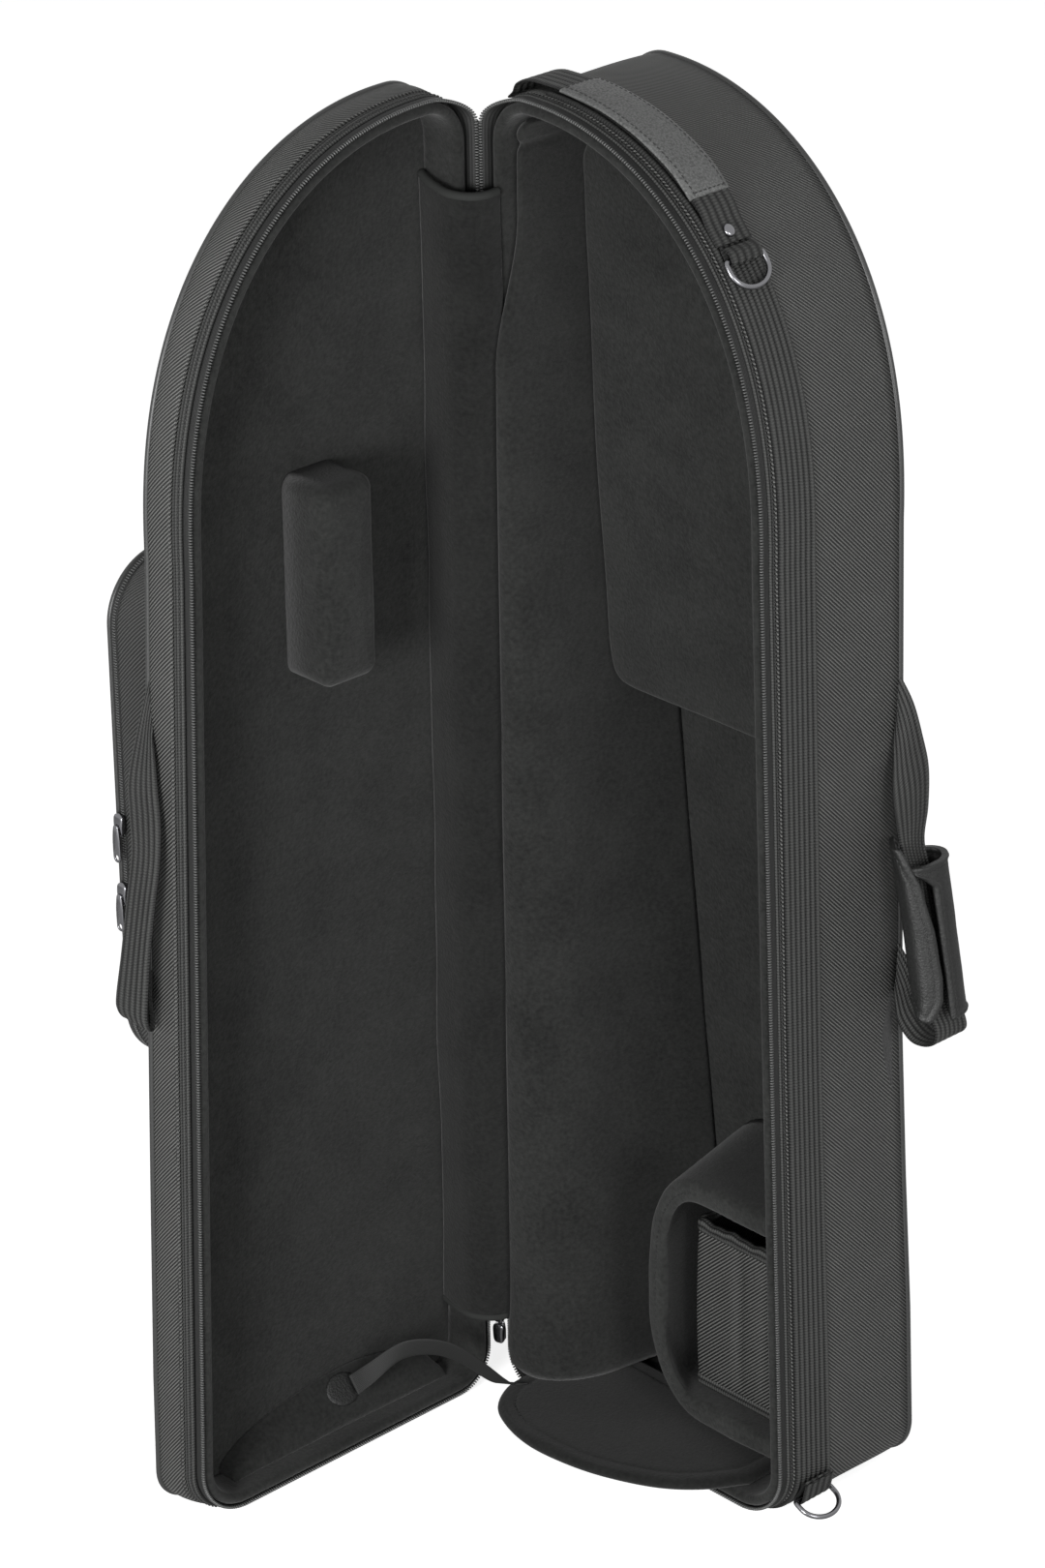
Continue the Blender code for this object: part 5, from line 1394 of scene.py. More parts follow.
PATCH_U, PATCH_S, PATCH_LONG, PATCH_SHORT = 0.126, 0.0235, 0.014, 0.0065
PATCH_RINGS = (
    (0.05, 0.0021), (0.55, 0.0022), (0.85, 0.0021), (0.96, 0.0017), (1.0, 0.0012), (1.0, 0.0004),
    (0.05, 0.0004))


def patch():
    """A low oval on the floor pad, in rings from its middle over its edge."""
    a = np.linspace(0, 2 * np.pi, 48, endpoint=False)
    rings = []
    for share, lift in PATCH_RINGS:
        u = PATCH_U + PATCH_LONG * share * np.cos(a)
        s = PATCH_S + PATCH_SHORT * share * np.sin(a)
        rings.append(on_lid(u, s, pad_height((u - PAD_LEFT) / (PAD_RIGHT - PAD_LEFT), s) + lift))
    skin("ribbon_anchor", np.stack(rings), "lid", leather, ["ribbon_patch"])


def pull_ribbon():
    """A middle line and a direction across it, both smoothed, so that the ribbon can twist."""
    start_u = PATCH_U - 0.4 * PATCH_LONG
    pad_top = float(pad_height((start_u - PAD_LEFT) / (PAD_RIGHT - PAD_LEFT), PATCH_S))
    flap_top = FLAP_FLOOR + FLAP_THICKNESS + 0.002
    first = on_lid(start_u, PATCH_S, pad_top) + np.array([0.0045, 0, 0.0035])
    route = [
        tuple(first), (-0.0155, -0.108, pad_top + 0.009), (-0.0045, -0.086, 0.058),
        (0.009, -0.064, 0.056),
        (0.0205, -0.046, 0.042), (0.032, -0.029, flap_top + 0.0015), (0.040, -0.0195, flap_top)]
    across = [
        (-0.64, 0.0, 0.77), (-0.5, 0.2, 0.8), (0.1, 0.2, 0.97), (0.5, 0.3, 0.8),
        (0.8, 0.5, 0.3), (0.8, 0.6, 0.0), (0.8, 0.6, 0.0)]
    both = even(np.concatenate([spline(route, 16), spline(across, 16)], axis=1), 90)
    t = np.linspace(-0.5, 0.5, 9)
    P = both[:, None, :3] + 0.014 * t[None, :, None] * unit(both[:, 3:])[:, None]
    obj = skin("ribbon_cloth", thick(P, 0.0008, 2), between(route[1], route[-2]), tape,
        ["pull_ribbon"])


patch()
pull_ribbon()

# %% [markdown]
# ## The spine
# A padded panel bows over the hinge inside, piped at both ends, and a flat strip covers the hinge
# outside. Both are sewn to the two halves, but each stays where it is built and is attached to neither.

# %% Spine panel and strip
SPINE_TOP_Z, SPINE_FOOT_Z = HEIGHT - 0.067, 0.062
SPINE_SECTION = [(-0.0315, -0.0208), (-0.016, -0.0242), (-0.002, -0.0245), (0.0095, -0.0180),
    (0.0152, -0.0085), (0.0160, 0.0010)]
SPINE_THICK, SPINE_COLUMNS = 0.0035, 41
LID_EDGE = (-0.026, -0.022, 0.45)
BASE_EDGE = (0.015, -0.012, 0.45)


def spine_panel():
    """The bowed panel and the piping along its two ends; wear attaches none of them to a body."""
    section = even(spline(SPINE_SECTION, 10), SPINE_COLUMNS)
    z = np.linspace(SPINE_FOOT_Z, SPINE_TOP_Z, 140)
    sag = 0.0018 * np.sin(np.pi * np.linspace(0, 1, SPINE_COLUMNS))
    P = np.zeros((SPINE_COLUMNS, len(z), 3))
    P[..., :2] = section[:, None]
    P[..., 2] = z[None]
    lean = 0.0060 * np.linspace(1, 0, SPINE_COLUMNS) ** 2
    P[..., 2] += (lean - sag)[:, None] * np.clip((z - SPINE_TOP_Z + 0.03) / 0.03, 0, 1)
    N = normals_of(P)
    P += N * (ripple(P, 0.08, 0.0006, 71))[..., None]
    # The panel's velour is the darker copy: painted shade.
    obj = skin("spine_panel", thick(P, np.full(P.shape[:2], SPINE_THICK), 4),
        between(LID_EDGE, BASE_EDGE), velour_painted_shade, ["spine_lining"])
    for name, row in (("spine_top_piping", -1), ("spine_foot_piping", 0)):
        path = even(P[:, row], 60)
        grid = tube_grid(path, 0.0029, 12, False, UP)
        skin(name, grid, between(LID_EDGE, BASE_EDGE), velour_edge)


spine_panel()


def spine_strip():
    """The strip bends round the hinge and narrows to a tongue near the top."""
    side = HINGE_GAP - FIT - 0.0005
    corner = [(-0.020, -side), (-0.012, -side), (-2 * side, -side), (-side / 2, -side / 2),
        (side / 2, side / 2), (side, 2 * side), (side, 0.012), (side, 0.020)]
    section = spline(corner, 5)
    straight = np.linspace(0.0618, HEIGHT - 0.056, 50)
    tongue = np.linspace(HEIGHT - 0.053, HEIGHT - 0.0245, 12)
    z = np.concatenate([straight, tongue])
    narrow = 1 - 0.74 * ease((z - HEIGHT + 0.052) / 0.016)
    P = np.zeros((len(section), len(z), 3))
    P[..., :2] = section[:, None] * narrow[None, :, None]
    P[..., 2] = z[None]
    obj = skin("spine_cloth", thick(P, 0.001, 2), between((-0.008, -side, 0.45), (side, 0.008, 0.45)),
        twill, ["spine_strip"])


spine_strip()
print("soft pieces", len(MADE))

# %% [markdown]
# ## The pocket on the lid
# A box pocket is sewn to the lid's outside: a twill wall, a zip round its edge, and a padded front
# that opens. Its outline is a rectangle with large round corners, so the same belts and pads as
# above are used on a second outline.

# %% Pocket
POCKET_LOW, POCKET_HIGH, POCKET_RADIUS = np.array([0.055, 0.308]), np.array([0.247, 0.672]), 0.045
POCKET_START = LID_DEPTH + FIT
POCKET_WALL_END = POCKET_START + 0.0355
POCKET_ZIP_END = POCKET_START + FIT + 0.0355 + 0.006


def pocket_outline(count):
    """A rectangle of (u, z) with large round corners."""
    return round_box(POCKET_LOW, POCKET_HIGH, POCKET_RADIUS, count, 120)


def belt(outline, D, S):
    """A closed section (D inwards, S deep) carried round an outline of the lid."""
    n = inward(outline)
    D = np.broadcast_to(D, (len(outline), np.shape(D)[-1]))
    q = outline[:, None] + D[..., None] * n[:, None]
    return on_lid(q[..., 0], np.broadcast_to(S, D.shape), q[..., 1])


def belt_line(outline, d, s):
    """One line of a belt, at an inset and a depth."""
    return belt(outline, np.array([d]), np.array([s]))[:, 0]


def pocket():
    """The pocket's wall, its zip's tape and teeth, and the row of stitches beside them."""
    outline = pocket_outline(420)
    D, S, outer = section_wall(0.0, 0.0025, POCKET_START - 0.002, POCKET_WALL_END, 0.0022)
    P = belt(outline, D, S)
    D = np.tile(D, (len(outline), 1))
    D[:, :outer] -= ripple(P[:, :outer], 0.07, 0.0008, 81) * between_seams(outer)
    # The pocket's wall takes the darker twill: painted shade.
    skin("pocket_wall_cloth", belt(outline, D, S), "lid", pocket_twill_painted_shade, ["pocket_gusset"],
        wrap=(True, True))
    t = np.linspace(0, 1, 9)
    middle = POCKET_WALL_END + 0.0031
    D = np.concatenate([0.0006 - 0.0008 * np.abs(np.cos(np.pi * t)) ** 0.5, [0.0025, 0.0025]])
    S = np.concatenate([POCKET_WALL_END + 0.0002 + 0.0059 * t,
        [POCKET_WALL_END + 0.0061, POCKET_WALL_END + 0.0002]])
    skin("pocket_zip_tape", belt(outline, D, S), "lid", tape, ["pocket_zip"], wrap=(True, True))
    path, inner = (belt_line(outline, d, middle) for d in (0.0003, 0.01))
    both = even(np.concatenate([path, unit(path - inner)], axis=1), step=ZIP_PITCH, closed=True)
    X = heading(both[:, :3], True)
    out = unit(both[:, 3:])
    side = unit(np.cross(out, X))
    copies("pocket_tooth_row", dash_shape(), both[:, :3], side * 0.0036, X * 0.0006, out * 0.0009, "lid",
        moulded)
    edge, inner = (belt_line(outline, d, POCKET_WALL_END - 0.0022) for d in (-0.0001, 0.01))
    stitches("pocket_wall_stitches", edge, unit(edge - inner), "lid", closed=True)


def pocket_front():
    """The panel's cushion bows out by four millimetres; a piping runs round its seam."""
    outline = pocket_outline(300)
    face = POCKET_ZIP_END + FIT
    q = outline + 0.0032 * inward(outline)
    levels = round_levels(face + 0.0052, face, 0.0022, 0.0032, 5)
    P = pad_over(q, np.array([0.151, 0.49]), levels, on_lid)
    P[..., 0] -= ripple(P, 0.12, 0.0010, 83) * (P[..., 0] < -(face + 0.0045))
    obj = skin("pocket_front_cloth", P, "pocket_panel", twill, ["pocket_panel"],
        wrap=(True, False), flat_uv=(1, 2))
    path = belt_line(outline, 0.0018, face + 0.0020)
    P = tube_grid(path, 0.0021, 10, True, np.array([1.0, 0, 0]))
    skin("pocket_front_cord", P, "pocket_panel", cord, ["pocket_piping"], wrap=(True, True))


pocket()
pocket_front()

# %% [markdown]
# ## Sliders and pulls
# A slider is a small waisted casting with round edges. Its pull is a flat tab with a
# round hole: the grid runs round the tab, and its section goes over the outer edge and back through
# the hole, so the hole needs no cutting.

# %% Zip runners
SLIDER_LENGTH, SLIDER_WIDTH, SLIDER_THICKNESS = 0.016, 0.0096, 0.0045


def slider(name, centre, out, body, node):
    """Superellipse sections along z, wide at the top and waisted at the mouth."""
    out = unit(out)
    side = np.cross(UP, out)
    rings = []
    a = np.linspace(0, 2 * np.pi, 32, endpoint=False)
    for t in np.linspace(-1, 1, 21):
        end = math.sqrt(max(1 - abs(t) ** 6, 0.02))
        wide = (0.5 - 0.10 * (0.5 - 0.5 * t)) * SLIDER_WIDTH * end
        deep = 0.5 * SLIDER_THICKNESS * end * (1 + 0.12 * math.cos(math.pi * t))
        x = np.sign(np.cos(a)) * np.abs(np.cos(a)) ** 0.5 * wide
        y = np.sign(np.sin(a)) * np.abs(np.sin(a)) ** 0.5 * deep
        place = centre + UP * (t * SLIDER_LENGTH / 2)
        rings.append(place + side * x[:, None] + out * (y[:, None] + SLIDER_THICKNESS / 2))
    return skin(name, np.stack(rings), body, metal, [node])


def pull(name, pivot, out, length, body, node):
    """A tab that narrows to its pivot, with a round hole near its foot."""
    out = unit(out)
    down = -UP
    side = np.cross(down, out)
    half = 0.0035
    shape = [(-0.6 * half, 0.0), (0.0, -0.0004), (0.6 * half, 0.0), (0.95 * half, 0.33 * length),
        (half, 0.6 * length)]
    shape += [(half * math.cos(a), length - half + half * math.sin(a)) for a in np.linspace(0, np.pi, 13)]
    shape += [(-half, 0.6 * length), (-0.95 * half, 0.33 * length)]
    outer = even(spline(shape, 4, closed=True), 64, closed=True)
    hole_centre = np.array([0.0, length - half])
    angle = np.arctan2(outer[:, 1] - hole_centre[1], outer[:, 0])
    hole = hole_centre + 0.5 * half * np.stack([np.cos(angle), np.sin(angle)], axis=1)
    thick_half, soft = 0.0007, 0.0004
    toward = unit(hole - outer)
    edge, lip, brim = outer + 0.0 * toward, outer + soft * toward, hole - soft * toward
    flat = thick_half - soft
    section = [(edge, -flat), (edge, flat), (lip, thick_half), (brim, thick_half)]
    section += [(hole, flat), (hole, -flat), (brim, -thick_half), (lip, -thick_half)]
    rows = []
    for q, lift in section:
        rows.append(pivot + side * q[:, :1] + down * q[:, 1:] + out * (lift + thick_half))
    return skin(name, np.stack(rows, axis=1), body, metal, [node], wrap=(True, True))


def runner(prefix, centre, out, length, rise, slider_body_name, pull_body_name):
    """A slider and the pull that hangs from it."""
    slider(prefix + "_casting", centre, out, slider_body_name, prefix + "_slider")
    pivot = centre + unit(out) * (SLIDER_THICKNESS + FIT) + UP * rise
    pull(prefix + "_tab", pivot, out, length, pull_body_name, prefix + "_pull")


for prefix, z in (("upper_pocket", 0.490), ("lower_pocket", 0.440)):
    place = on_lid(POCKET_HIGH[0] + FIT, POCKET_ZIP_END - 0.003, z)
    runner(prefix, place, (0, -1, 0), 0.026, 0.0, prefix + "_slider", prefix + "_pull")
turned = np.array([math.cos(math.radians(105)), math.sin(math.radians(105)), 0.0])
for prefix, z in (("lower_main", 0.0370), ("upper_main", 0.0536)):
    runner(prefix, np.array([0, 0, z]) - turned * SLIDER_THICKNESS / 2, turned, 0.0155, SLIDER_LENGTH / 2,
        "base", prefix + "_pull")
print("zip runners done")

# %% [markdown]
# ## Webbing straps
# A strap is a ribbed sheet between two edges, each a smooth line through a few points. Where a handle
# is sewn into the seam its width lies along the seam, and it turns over to hang, so there the two
# edges start one above the other and only then run side by side. That gives the pointed, twisted
# ends of the photograph, which one centre line with a fixed width can't.

# %% Straps
STRAP_THICK = 0.0022


def strap(name, first, second, body, stands_for, finish, ribs=5, thickness=STRAP_THICK, count=150,
        dip=0.35):
    """A ribbed sheet between two edges given by the same number of points."""
    both = even(spline(np.concatenate([first, second], axis=1), 12), count)
    t, low = rib_profile(4, ribs, dip)
    P = both[:, None, :3] * (1 - t)[None, :, None] + both[:, None, 3:] * t[None, :, None]
    wide = np.linalg.norm(first - second, axis=1).max()
    place = np.concatenate([wide * t, [wide, wide], wide * t[::-1], [0, 0, 0]])
    grid = thick(P, np.broadcast_to(thickness * (1 - low), P.shape[:2]), 2)
    return skin(name, grid, body, finish, stands_for, across=place)


def seam_loop(name, half, shift, pairs, body, node):
    """pairs hold (reach, s, z) of the near edge and of the far edge."""
    edges = []
    for k in (0, 3):
        reach, s, z = np.array(pairs)[:, k:k + 3].T
        u = np.array([width_at(v) for v in z]) + reach + shift(z) * np.clip(1 - reach / 0.02, 0, 1)
        edges.append(half(u, s, z))
    return strap(name, edges[0], edges[1], body, [node], loop_webbing, 6, count=190)


BASE_LOOP = [
    (-0.0020, 0.1245, 0.550, -0.0020, 0.1245, 0.587), (0.0055, 0.1135, 0.534, 0.0060, 0.1302, 0.565),
    (0.0100, 0.1068, 0.518, 0.0095, 0.1350, 0.540), (0.0130, 0.1048, 0.500, 0.0118, 0.1378, 0.518),
    (0.0148, 0.1048, 0.488, 0.0140, 0.1345, 0.493), (0.0170, 0.1060, 0.472, 0.0165, 0.1275, 0.472),
    (0.0200, 0.1090, 0.450, 0.0200, 0.1290, 0.450), (0.0270, 0.1090, 0.405, 0.0270, 0.1330, 0.405),
    (0.0350, 0.1110, 0.362, 0.0350, 0.1370, 0.362), (0.0385, 0.1130, 0.348, 0.0385, 0.1410, 0.348),
    (0.0370, 0.1130, 0.3385, 0.0380, 0.1420, 0.339), (0.0290, 0.1120, 0.3335, 0.0295, 0.1415, 0.335),
    (0.0190, 0.1100, 0.335, 0.0200, 0.1380, 0.340), (0.0100, 0.1110, 0.344, 0.0120, 0.1330, 0.356),
    (0.0045, 0.1160, 0.354, 0.0060, 0.1290, 0.376), (-0.0020, 0.1240, 0.362, -0.0020, 0.1240, 0.395)]
LID_LOOP = [
    (-0.0020, 0.0400, 0.582, -0.0020, 0.0410, 0.608), (0.0025, 0.0325, 0.563, 0.0025, 0.0480, 0.572),
    (0.0040, 0.0285, 0.538, 0.0040, 0.0560, 0.537), (0.0060, 0.0240, 0.513, 0.0060, 0.0535, 0.515),
    (0.0090, 0.0225, 0.488, 0.0090, 0.0490, 0.489), (0.0125, 0.0240, 0.460, 0.0120, 0.0520, 0.453),
    (0.0150, 0.0270, 0.425, 0.0150, 0.0550, 0.4167), (0.0168, 0.0290, 0.385, 0.0168, 0.0590, 0.385),
    (0.0160, 0.0290, 0.375, 0.0160, 0.0590, 0.3755), (0.0120, 0.0300, 0.369, 0.0120, 0.0580, 0.370),
    (0.0070, 0.0320, 0.372, 0.0070, 0.0560, 0.372), (0.0035, 0.0380, 0.386, 0.0035, 0.0510, 0.380),
    (-0.0020, 0.0430, 0.411, -0.0020, 0.0440, 0.390)]
seam_loop("base_loop", on_base, lambda z: np.interp(z, *BASE_SWELL), BASE_LOOP, "base_handle",
    "base_handle")
seam_loop("lid_loop", on_lid, lambda z: LID_FULLNESS + 0 * z, LID_LOOP, "lid_handle", "lid_handle")

# %% [markdown]
# ## The grip
# The leather grip is two curved sheets round the webbing: a wrap behind and a flap in front, whose
# edges are rolled and stitched. The sheets are read from an angle and a height round a leaning axis,
# and their thickness grows to a bead along the edges.

# %% Grip
GRIP_TOP, GRIP_FOOT, GRIP_SEAM = 0.470, 0.350, 0.0044
GRIP_ROWS, GRIP_COLUMNS = 70, 50
GRIP_HALF_X, GRIP_HALF_Y = 0.0125, 0.0190


def grip_axis(share):
    """A leaning line through the grip, from its foot to its top."""
    z = GRIP_FOOT + share * (GRIP_TOP - GRIP_FOOT)
    reach = 0.0365 + share * (0.0175 - 0.0365)
    return on_base(width_at(z) + reach, 0.1215, z)


def grip_sheet(name, start, end, body, node, low=0.0, high=1.0, swell=0.0, bead=0.0012, lift=0.0):
    """P[i, j]: i up the axis and j round by angle; start and end are angles for each height.

    swell lifts the far edge off the axis, so that it can lie over the other sheet, and lift raises
    the start of the foot edge, so that the foot ends in a rounded corner.
    """
    share = np.linspace(low, high, GRIP_ROWS)
    own = np.linspace(0, 1, GRIP_ROWS)
    angle = np.linspace(0, 1, GRIP_COLUMNS)
    turn = np.radians(start(own)[:, None] * (1 - angle) + end(own)[:, None] * angle)
    near_start = ((1 - angle) ** 2)[None] * ease((own - 0.5) / 0.5)[:, None]
    off = 1 + swell * (ease((angle - 0.45) / 0.4)[None] + 0.9 * near_start)
    height = share[:, None] + lift * ((1 - angle) ** 1.5)[None] * ((1 - own) ** 4)[:, None]
    flat = [GRIP_HALF_X * off * np.cos(turn), GRIP_HALF_Y * off * np.sin(turn), 0 * turn]
    P = grip_axis(height) + np.stack(flat, axis=-1)
    steps_i = np.linalg.norm(np.diff(P, axis=0), axis=2)
    steps_j = np.linalg.norm(np.diff(P, axis=1), axis=2)
    run_i = np.concatenate([np.zeros((1, GRIP_COLUMNS)), np.cumsum(steps_i, axis=0)])
    run_j = np.concatenate([np.zeros((GRIP_ROWS, 1)), np.cumsum(steps_j, axis=1)], axis=1)
    near = np.minimum(np.minimum(run_i, run_i[-1:] - run_i), np.minimum(run_j, run_j[:, -1:] - run_j))
    rolled = hump(near, 0.0013, 0.0017)
    furrow = hump(near, GRIP_SEAM, 0.0012)
    thickness = 0.0028 + bead * rolled - 0.0006 * furrow + 0.0002 * ripple(P, 0.02, 1.0, 91)
    skin(name, thick(P, thickness, 4), body, leather, [node])
    N = normals_of(P)
    i, j = GRIP_ROWS // 2, GRIP_COLUMNS // 2
    N *= np.sign(((P[i, j] - grip_axis(share[i])) * N[i, j]).sum())
    top = P + (thickness / 2)[..., None] * N
    low, high = 3, GRIP_ROWS - 4
    first = np.argmin(np.abs(run_j - GRIP_SEAM), axis=1)
    last = np.argmin(np.abs(run_j[:, -1:] - run_j - GRIP_SEAM), axis=1)
    rows = range(low, high)
    border = [(i, first[i]) for i in rows] + [(high, j) for j in range(first[high], last[high])]
    border += [(i, last[i]) for i in rows[::-1]] + [(low, j) for j in range(last[low], first[low], -1)]
    at = np.array(border).T
    stitches(name + "_stitches", top[at[0], at[1]], N[at[0], at[1]], body, **LEATHER_STITCH, width=0.0008,
        closed=True)


def flap_edge(share):
    """The flap's free edge slants: it lies far round at the foot and draws back towards the top."""
    return np.interp(share, [0, 0.03, 0.12, 0.25, 0.52, 0.8, 0.95, 1],
        [298, 312, 330, 335, 331, 315, 291, 280])


def wrap_edge(share):
    """The wrap's start edge: level with the axis below, sweeping round to the front under the top rim."""
    return np.interp(share, [0, 0.86, 0.92, 0.96, 1], [-4, -6, -26, -58, -66])


grip_sheet("grip_back_leather", wrap_edge, lambda t: 196 + 0 * t, "base_handle", "grip_wrap", 0.06, 0.94,
    0.0, 0.0024)
grip_sheet("grip_front_leather", lambda t: 208 + 6 * t, flap_edge, "grip_flap", "grip_flap", 0.07, 1.05,
    0.17, lift=0.14)

# %% [markdown]
# ## The top handle
# Webbing is sewn at the top of the spine, rises over the dome and comes down under a rivet. A padded
# leather sleeve covers its middle; its two long edges are thin and stitched. Beyond the rivet a
# short loop of webbing holds a D-ring, and a second ring hangs at the foot.

# %% Top handle
def dome_height(u):
    """The dome's height over a place across the half."""
    share = min(max((u - DOME_PEAK_U) / (SHOULDER_WIDTH - DOME_PEAK_U), 0.0), 1.0)
    return SHOULDER_HEIGHT + (HEIGHT - SHOULDER_HEIGHT) * (1 - share**DOME_ACROSS) ** (1 / DOME_UP)


def off_dome(u, lift):
    """(u, z) at a distance square to the dome."""
    slope = (dome_height(u + 1e-4) - dome_height(u - 1e-4)) / 2e-4
    size = math.hypot(1, slope)
    return (u - lift * slope / size, dome_height(u) + lift / size)


RIVET_U, RIVET_LONG, RIVET_SHORT = 0.1875, 0.0046, 0.0040
RIVET_RINGS = (
    (1.0, -0.0005), (1.0, 0.0004), (0.97, 0.0010), (0.88, 0.0016), (0.7, 0.0021), (0.45, 0.0024),
    (0.15, 0.0025))
STRAP_WIDE = 0.0295
TOP_ARCH = ((0.0, 0.0062), (0.2, 0.0070), (0.39, 0.0082), (0.58, 0.0092), (0.76, 0.0096), (0.9, 0.00756))
HANDLE_MIDDLE = BAND_START + BAND_WIDTH / 2
TOP_SEAT = 2 * FIT + STRAP_THICK * 1.5
TOP_CORNER = (HINGE_GAP + SPINE_TOP_RADIUS, HEIGHT - SPINE_TOP_RADIUS)


def top_route():
    """The handle's line in (u, z): sewn end, rise, arch over the dome and landing at the rivet."""
    out = SPINE_TOP_RADIUS + TOP_SEAT
    u, z = TOP_CORNER
    sewn = [(u + out * math.cos(a), z + out * math.sin(a)) for a in np.radians((139, 130))]
    rise = [(u - 0.62 * SPINE_TOP_RADIUS, HEIGHT + 0.0008),
        (u - 0.34 * SPINE_TOP_RADIUS, HEIGHT + 0.0052)]
    arch = [off_dome(u + share * (RIVET_U - u), lift) for share, lift in TOP_ARCH]
    landing = [off_dome(RIVET_U - 0.004, TOP_SEAT + 2 * FIT), off_dome(RIVET_U + 0.005, TOP_SEAT)]
    return sewn + rise + arch + landing


SLEEVE_HALF, SLEEVE_START, SLEEVE_END = 0.0160, 0.060, 0.175
SLEEVE_ROWS, SLEEVE_COLUMNS = 90, 25


def top_handle():
    """The webbing, the leather sleeve round its middle and the stitches along the sleeve's edges."""
    route = np.array([on_base(u, HANDLE_MIDDLE, z) for u, z in top_route()])
    half_width = np.array([0.0, STRAP_WIDE / 2, 0.0])
    strap("top_strap", route - half_width, route + half_width, "base", ["top_handle_webbing"],
        strap_webbing, 5, count=180)
    dense = even(spline(route, 12), 400)
    dense = dense[(dense[:, 0] > SLEEVE_START) & (dense[:, 0] < SLEEVE_END)]
    dense = even(dense, SLEEVE_ROWS)
    t = np.linspace(-1, 1, SLEEVE_COLUMNS)
    P = dense[:, None] + np.array([0.0, 1.0, 0.0]) * (t * SLEEVE_HALF)[None, :, None]
    place = np.arange(SLEEVE_ROWS)
    ends = np.minimum(place, place[::-1])[:, None] * 0.0014
    full = (1 - np.abs(t[None]) ** 5) * np.clip(ends / 0.004, 0, 1) ** 0.5
    thickness = 0.0024 + 0.0036 * full + 0.0003 * ripple(P, 0.03, 1.0, 93)
    # The sleeve takes the lighter leather: painted light.
    skin("sleeve_leather_painted_light", thick(P, thickness, 4), "base", sleeve_leather_painted_light,
        ["top_handle_sleeve"])
    N = normals_of(P)
    N = N * np.sign(N[SLEEVE_ROWS // 2, SLEEVE_COLUMNS // 2, 2])
    for name, j in (("sleeve_near_stitches", 2), ("sleeve_far_stitches", 22)):
        line_top = P[2:-2, j] + N[2:-2, j] * thickness[2:-2, j, None] / 2
        stitches(name, line_top, N[2:-2, j], "base", **LEATHER_STITCH, width=0.0009)
    for name, i in (("sleeve_start_stitches", 2), ("sleeve_end_stitches", -3)):
        line_top = P[i, 3:-3] + N[i, 3:-3] * thickness[i, 3:-3, None] / 2
        stitches(name, line_top, N[i, 3:-3], "base", **LEATHER_STITCH, width=0.0009)


def rivet():
    """A low oval cap: rings of an ellipse that shrink like a circle while they rise."""
    surface = TOP_SEAT + STRAP_THICK / 2
    u, z = off_dome(RIVET_U, surface)
    u2, z2 = off_dome(RIVET_U, surface + 0.01)
    ahead_u, ahead_z = off_dome(RIVET_U + 0.003, surface)
    out = unit(np.array([u2 - u, 0, z2 - z]))
    along = unit(np.array([ahead_u - u, 0, ahead_z - z]))
    a = np.linspace(0, 2 * np.pi, 40, endpoint=False)
    rings = []
    across = np.array([0, 1.0, 0])
    for share, lift in RIVET_RINGS:
        flat = along * (RIVET_LONG * share * np.cos(a))[:,
            None] + across * (RIVET_SHORT * share * np.sin(a))[:, None]
        rings.append(np.array([u, HANDLE_MIDDLE, z]) + flat + out * lift)
    skin("rivet_cap", np.stack(rings), "base", metal, ["handle_rivet"])


top_handle()
rivet()

# %% D-rings and their tabs
RING_RADIUS, RING_WIRE, RING_DROP, TAB_THICK = 0.0162, 0.0016, 0.0065, 0.0015
RING_TUBE, TAB_WIDE = 0.00175, 0.0265


def d_ring(name, pivot, down, body, node):
    """A bar along Y and a half round below it, the corners softened by the spline."""
    across = np.array([0.0, 1.0, 0.0])
    points = [pivot + across * RING_RADIUS * x for x in (-0.86, -0.4, 0.0, 0.4, 0.86)]
    near, far = across * RING_RADIUS * 0.985, across * RING_RADIUS
    points += [pivot + near + down * 0.0012, pivot + far + down * RING_DROP]
    for a in np.radians(np.linspace(0, 180, 13)[1:-1]):
        drop = RING_DROP + (RING_RADIUS - 0.003) * math.sin(a)
        points.append(pivot + across * (RING_RADIUS * math.cos(a)) + down * drop)
    points += [pivot - far + down * RING_DROP, pivot - near + down * 0.0012]
    path = even(spline(points, 8, closed=True), 150, closed=True)
    grid = tube_grid(path, RING_TUBE, 14, True, np.cross(across, down))
    return skin(name, grid, body, metal, [node], wrap=(True, True))


def ring_tab(name, pivot, back, out, reach, node):
    """Webbing folded round the bar of a ring and sewn down behind it."""
    bend = RING_WIRE + FIT + TAB_THICK / 2
    route = [pivot + back * reach - out * bend, pivot + back * 0.004 - out * bend]
    for a in np.radians(np.linspace(-90, 90, 7)):
        route.append(pivot - back * (bend * math.cos(a)) + out * (bend * math.sin(a)))
    route += [pivot + back * 0.004 + out * bend, pivot + back * reach + out * (TAB_THICK + FIT - bend)]
    half_width = np.array([0.0, TAB_WIDE / 2, 0.0])
    return strap(name, np.array(route) - half_width, np.array(route) + half_width, "base", [node],
        strap_webbing, 5, TAB_THICK, 90)


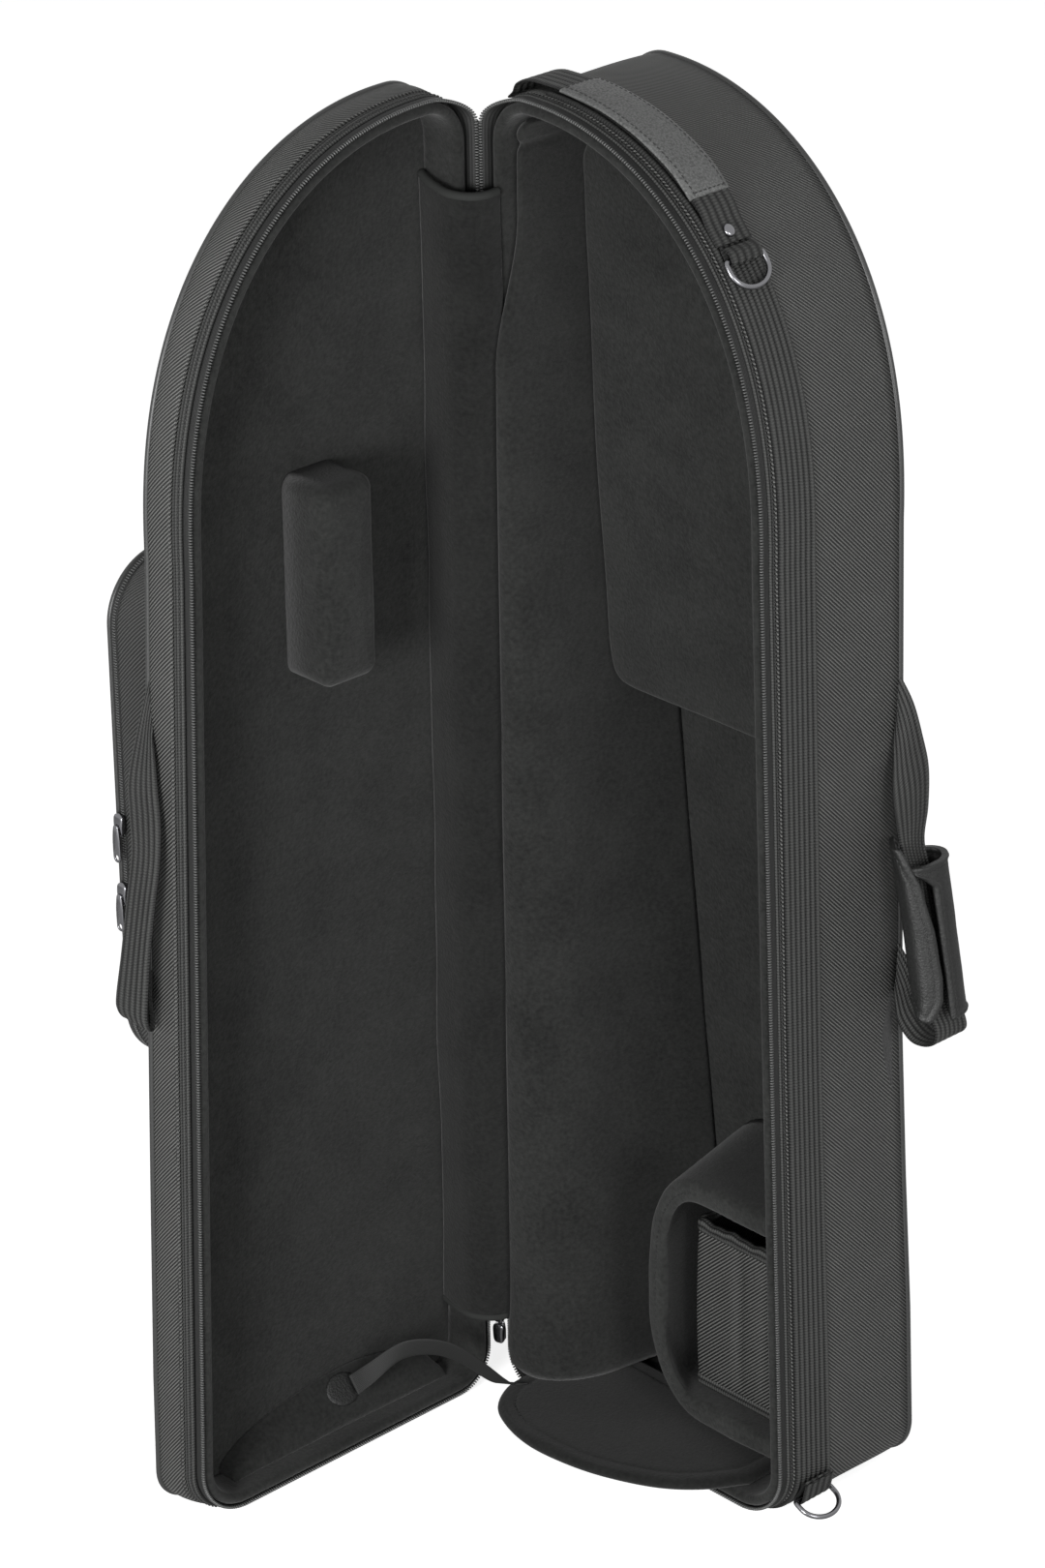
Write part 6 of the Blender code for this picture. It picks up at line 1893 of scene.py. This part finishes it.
def rings():
    """The ring beyond the rivet and the one at the foot, each in its tab."""
    lift = FIT + STRAP_THICK + FIT + TAB_THICK + FIT + RING_WIRE
    place = off_dome(RIVET_U + 0.012, lift)
    ahead = off_dome(RIVET_U + 0.018, lift)
    pivot = on_base(place[0], HANDLE_MIDDLE, place[1])
    down = unit(on_base(ahead[0], HANDLE_MIDDLE, ahead[1]) - pivot)
    ring_tab("top_tab", pivot, -down, np.array([-down[2], 0, down[0]]), 0.0085, "top_ring_tab")
    d_ring("top_ring_wire", pivot, down, "top_ring", "top_d_ring")
    angle = math.radians(-30)
    out = np.array([math.cos(angle), 0.0, math.sin(angle)])
    pivot = on_base(FOOT_WIDTH - FREE_FOOT_RADIUS, HANDLE_MIDDLE,
        FREE_FOOT_RADIUS) + out * (FREE_FOOT_RADIUS + lift)
    ring_tab("foot_tab", pivot, np.array([-out[2], 0, out[0]]), out, 0.016, "foot_ring_tab")
    d_ring("foot_ring_wire", pivot, unit(np.array([0.90, 0.0, -0.43])), "foot_ring", "foot_d_ring")


rings()
print("hardware done,", len(MADE), "pieces")

# %% [markdown]
# ## Light, floor and backdrop
# The photograph is a catalogue cut-out: white all round, with broad soft light from the front and
# from above. The world gives an even grey light but looks white to the camera. As the camera
# sees it, a large soft lamp stands at the front left and a second one fills from the right. The
# floor is pale and matt, glows a little for the camera alone and keeps the case's soft shadow.

# %% Set the light
WORLD_LIGHT, FLOOR_GLOW, FLOOR_DROP = 0.30, 0.72, 0.0004
CASE_MIDDLE = (0, 0, 0.45)


def seen_directly(tree):
    """One for the three kinds of ray that should see a white room, and zero for the rest."""
    rays = tree.nodes.new("ShaderNodeLightPath")
    first = tree.nodes.new("ShaderNodeMath")
    first.operation = "MAXIMUM"
    tree.links.new(rays.outputs["Is Camera Ray"], first.inputs[0])
    tree.links.new(rays.outputs["Is Glossy Ray"], first.inputs[1])
    second = tree.nodes.new("ShaderNodeMath")
    second.operation = "MAXIMUM"
    tree.links.new(first.outputs[0], second.inputs[0])
    tree.links.new(rays.outputs["Is Transmission Ray"], second.inputs[1])
    return second.outputs[0]


def white_room():
    """A world that looks white but gives an even grey light."""
    world = bpy.data.worlds.new("white_room")
    world.use_nodes = True
    bpy.context.scene.world = world
    tree = world.node_tree
    seen = seen_directly(tree)
    shade = tree.nodes.new("ShaderNodeMix")
    shade.data_type = "RGBA"
    tree.links.new(seen, shade.inputs[0])
    shade.inputs[6].default_value = (*(WORLD_LIGHT,) * 3, 1)
    shade.inputs[7].default_value = (1, 1, 1, 1)
    tree.links.new(shade.outputs[2], tree.nodes["Background"].inputs["Color"])
    tree.nodes["Background"].inputs["Strength"].default_value = 1.0


def lamp(name, place, aim, size, power):
    """A round soft lamp that faces its aim."""
    light = bpy.data.lights.new(name, "AREA")
    light.shape = "DISK"
    light.size = size
    light.energy = power
    obj = bpy.data.objects.new(name, light)
    bpy.context.scene.collection.objects.link(obj)
    away = unit(np.array(place) - np.array(aim))
    right = unit(np.cross(UP, away))
    turn = np.eye(4)
    turn[:3, 0], turn[:3, 1], turn[:3, 2] = right, np.cross(away, right), away
    turn[:3, 3] = place
    obj.matrix_world = Matrix(turn)
    return obj


def pale_floor(half_side=4.0):
    """A matt floor just under the case."""
    mesh = bpy.data.meshes.new("pale_floor")
    low = float(cad_box[0][2]) - FLOOR_DROP
    corners = [(x * half_side, y * half_side, low) for x, y in ((-1, -1), (1, -1), (1, 1), (-1, 1))]
    mesh.from_pydata(corners, [], [(0, 1, 2, 3)])
    obj = bpy.data.objects.new("pale_floor", mesh)
    bpy.context.scene.collection.objects.link(obj)
    paint = Recipe("pale_floor_paint", (0.8, 0.8, 0.8), 0.9, Specular_IOR_Level=0.0)
    camera_ray = paint.node("ShaderNodeLightPath", {}, {}, "Is Camera Ray")
    glow = paint.mix(camera_ray, (0.0, 0.0, 0.0), (FLOOR_GLOW,) * 3)
    paint.feed("Emission Color", glow)
    paint.shader.inputs["Emission Strength"].default_value = 1.0
    mesh.materials.append(paint.material)


white_room()
lamp("soft_key", (0.9, -2.9, 1.0), CASE_MIDDLE, 1.3, 104.0)
lamp("soft_fill", (2.9, -0.8, 1.2), CASE_MIDDLE, 1.5, 50.0)
pale_floor()
bpy.context.scene.view_settings.view_transform = "Standard"
print("light set")
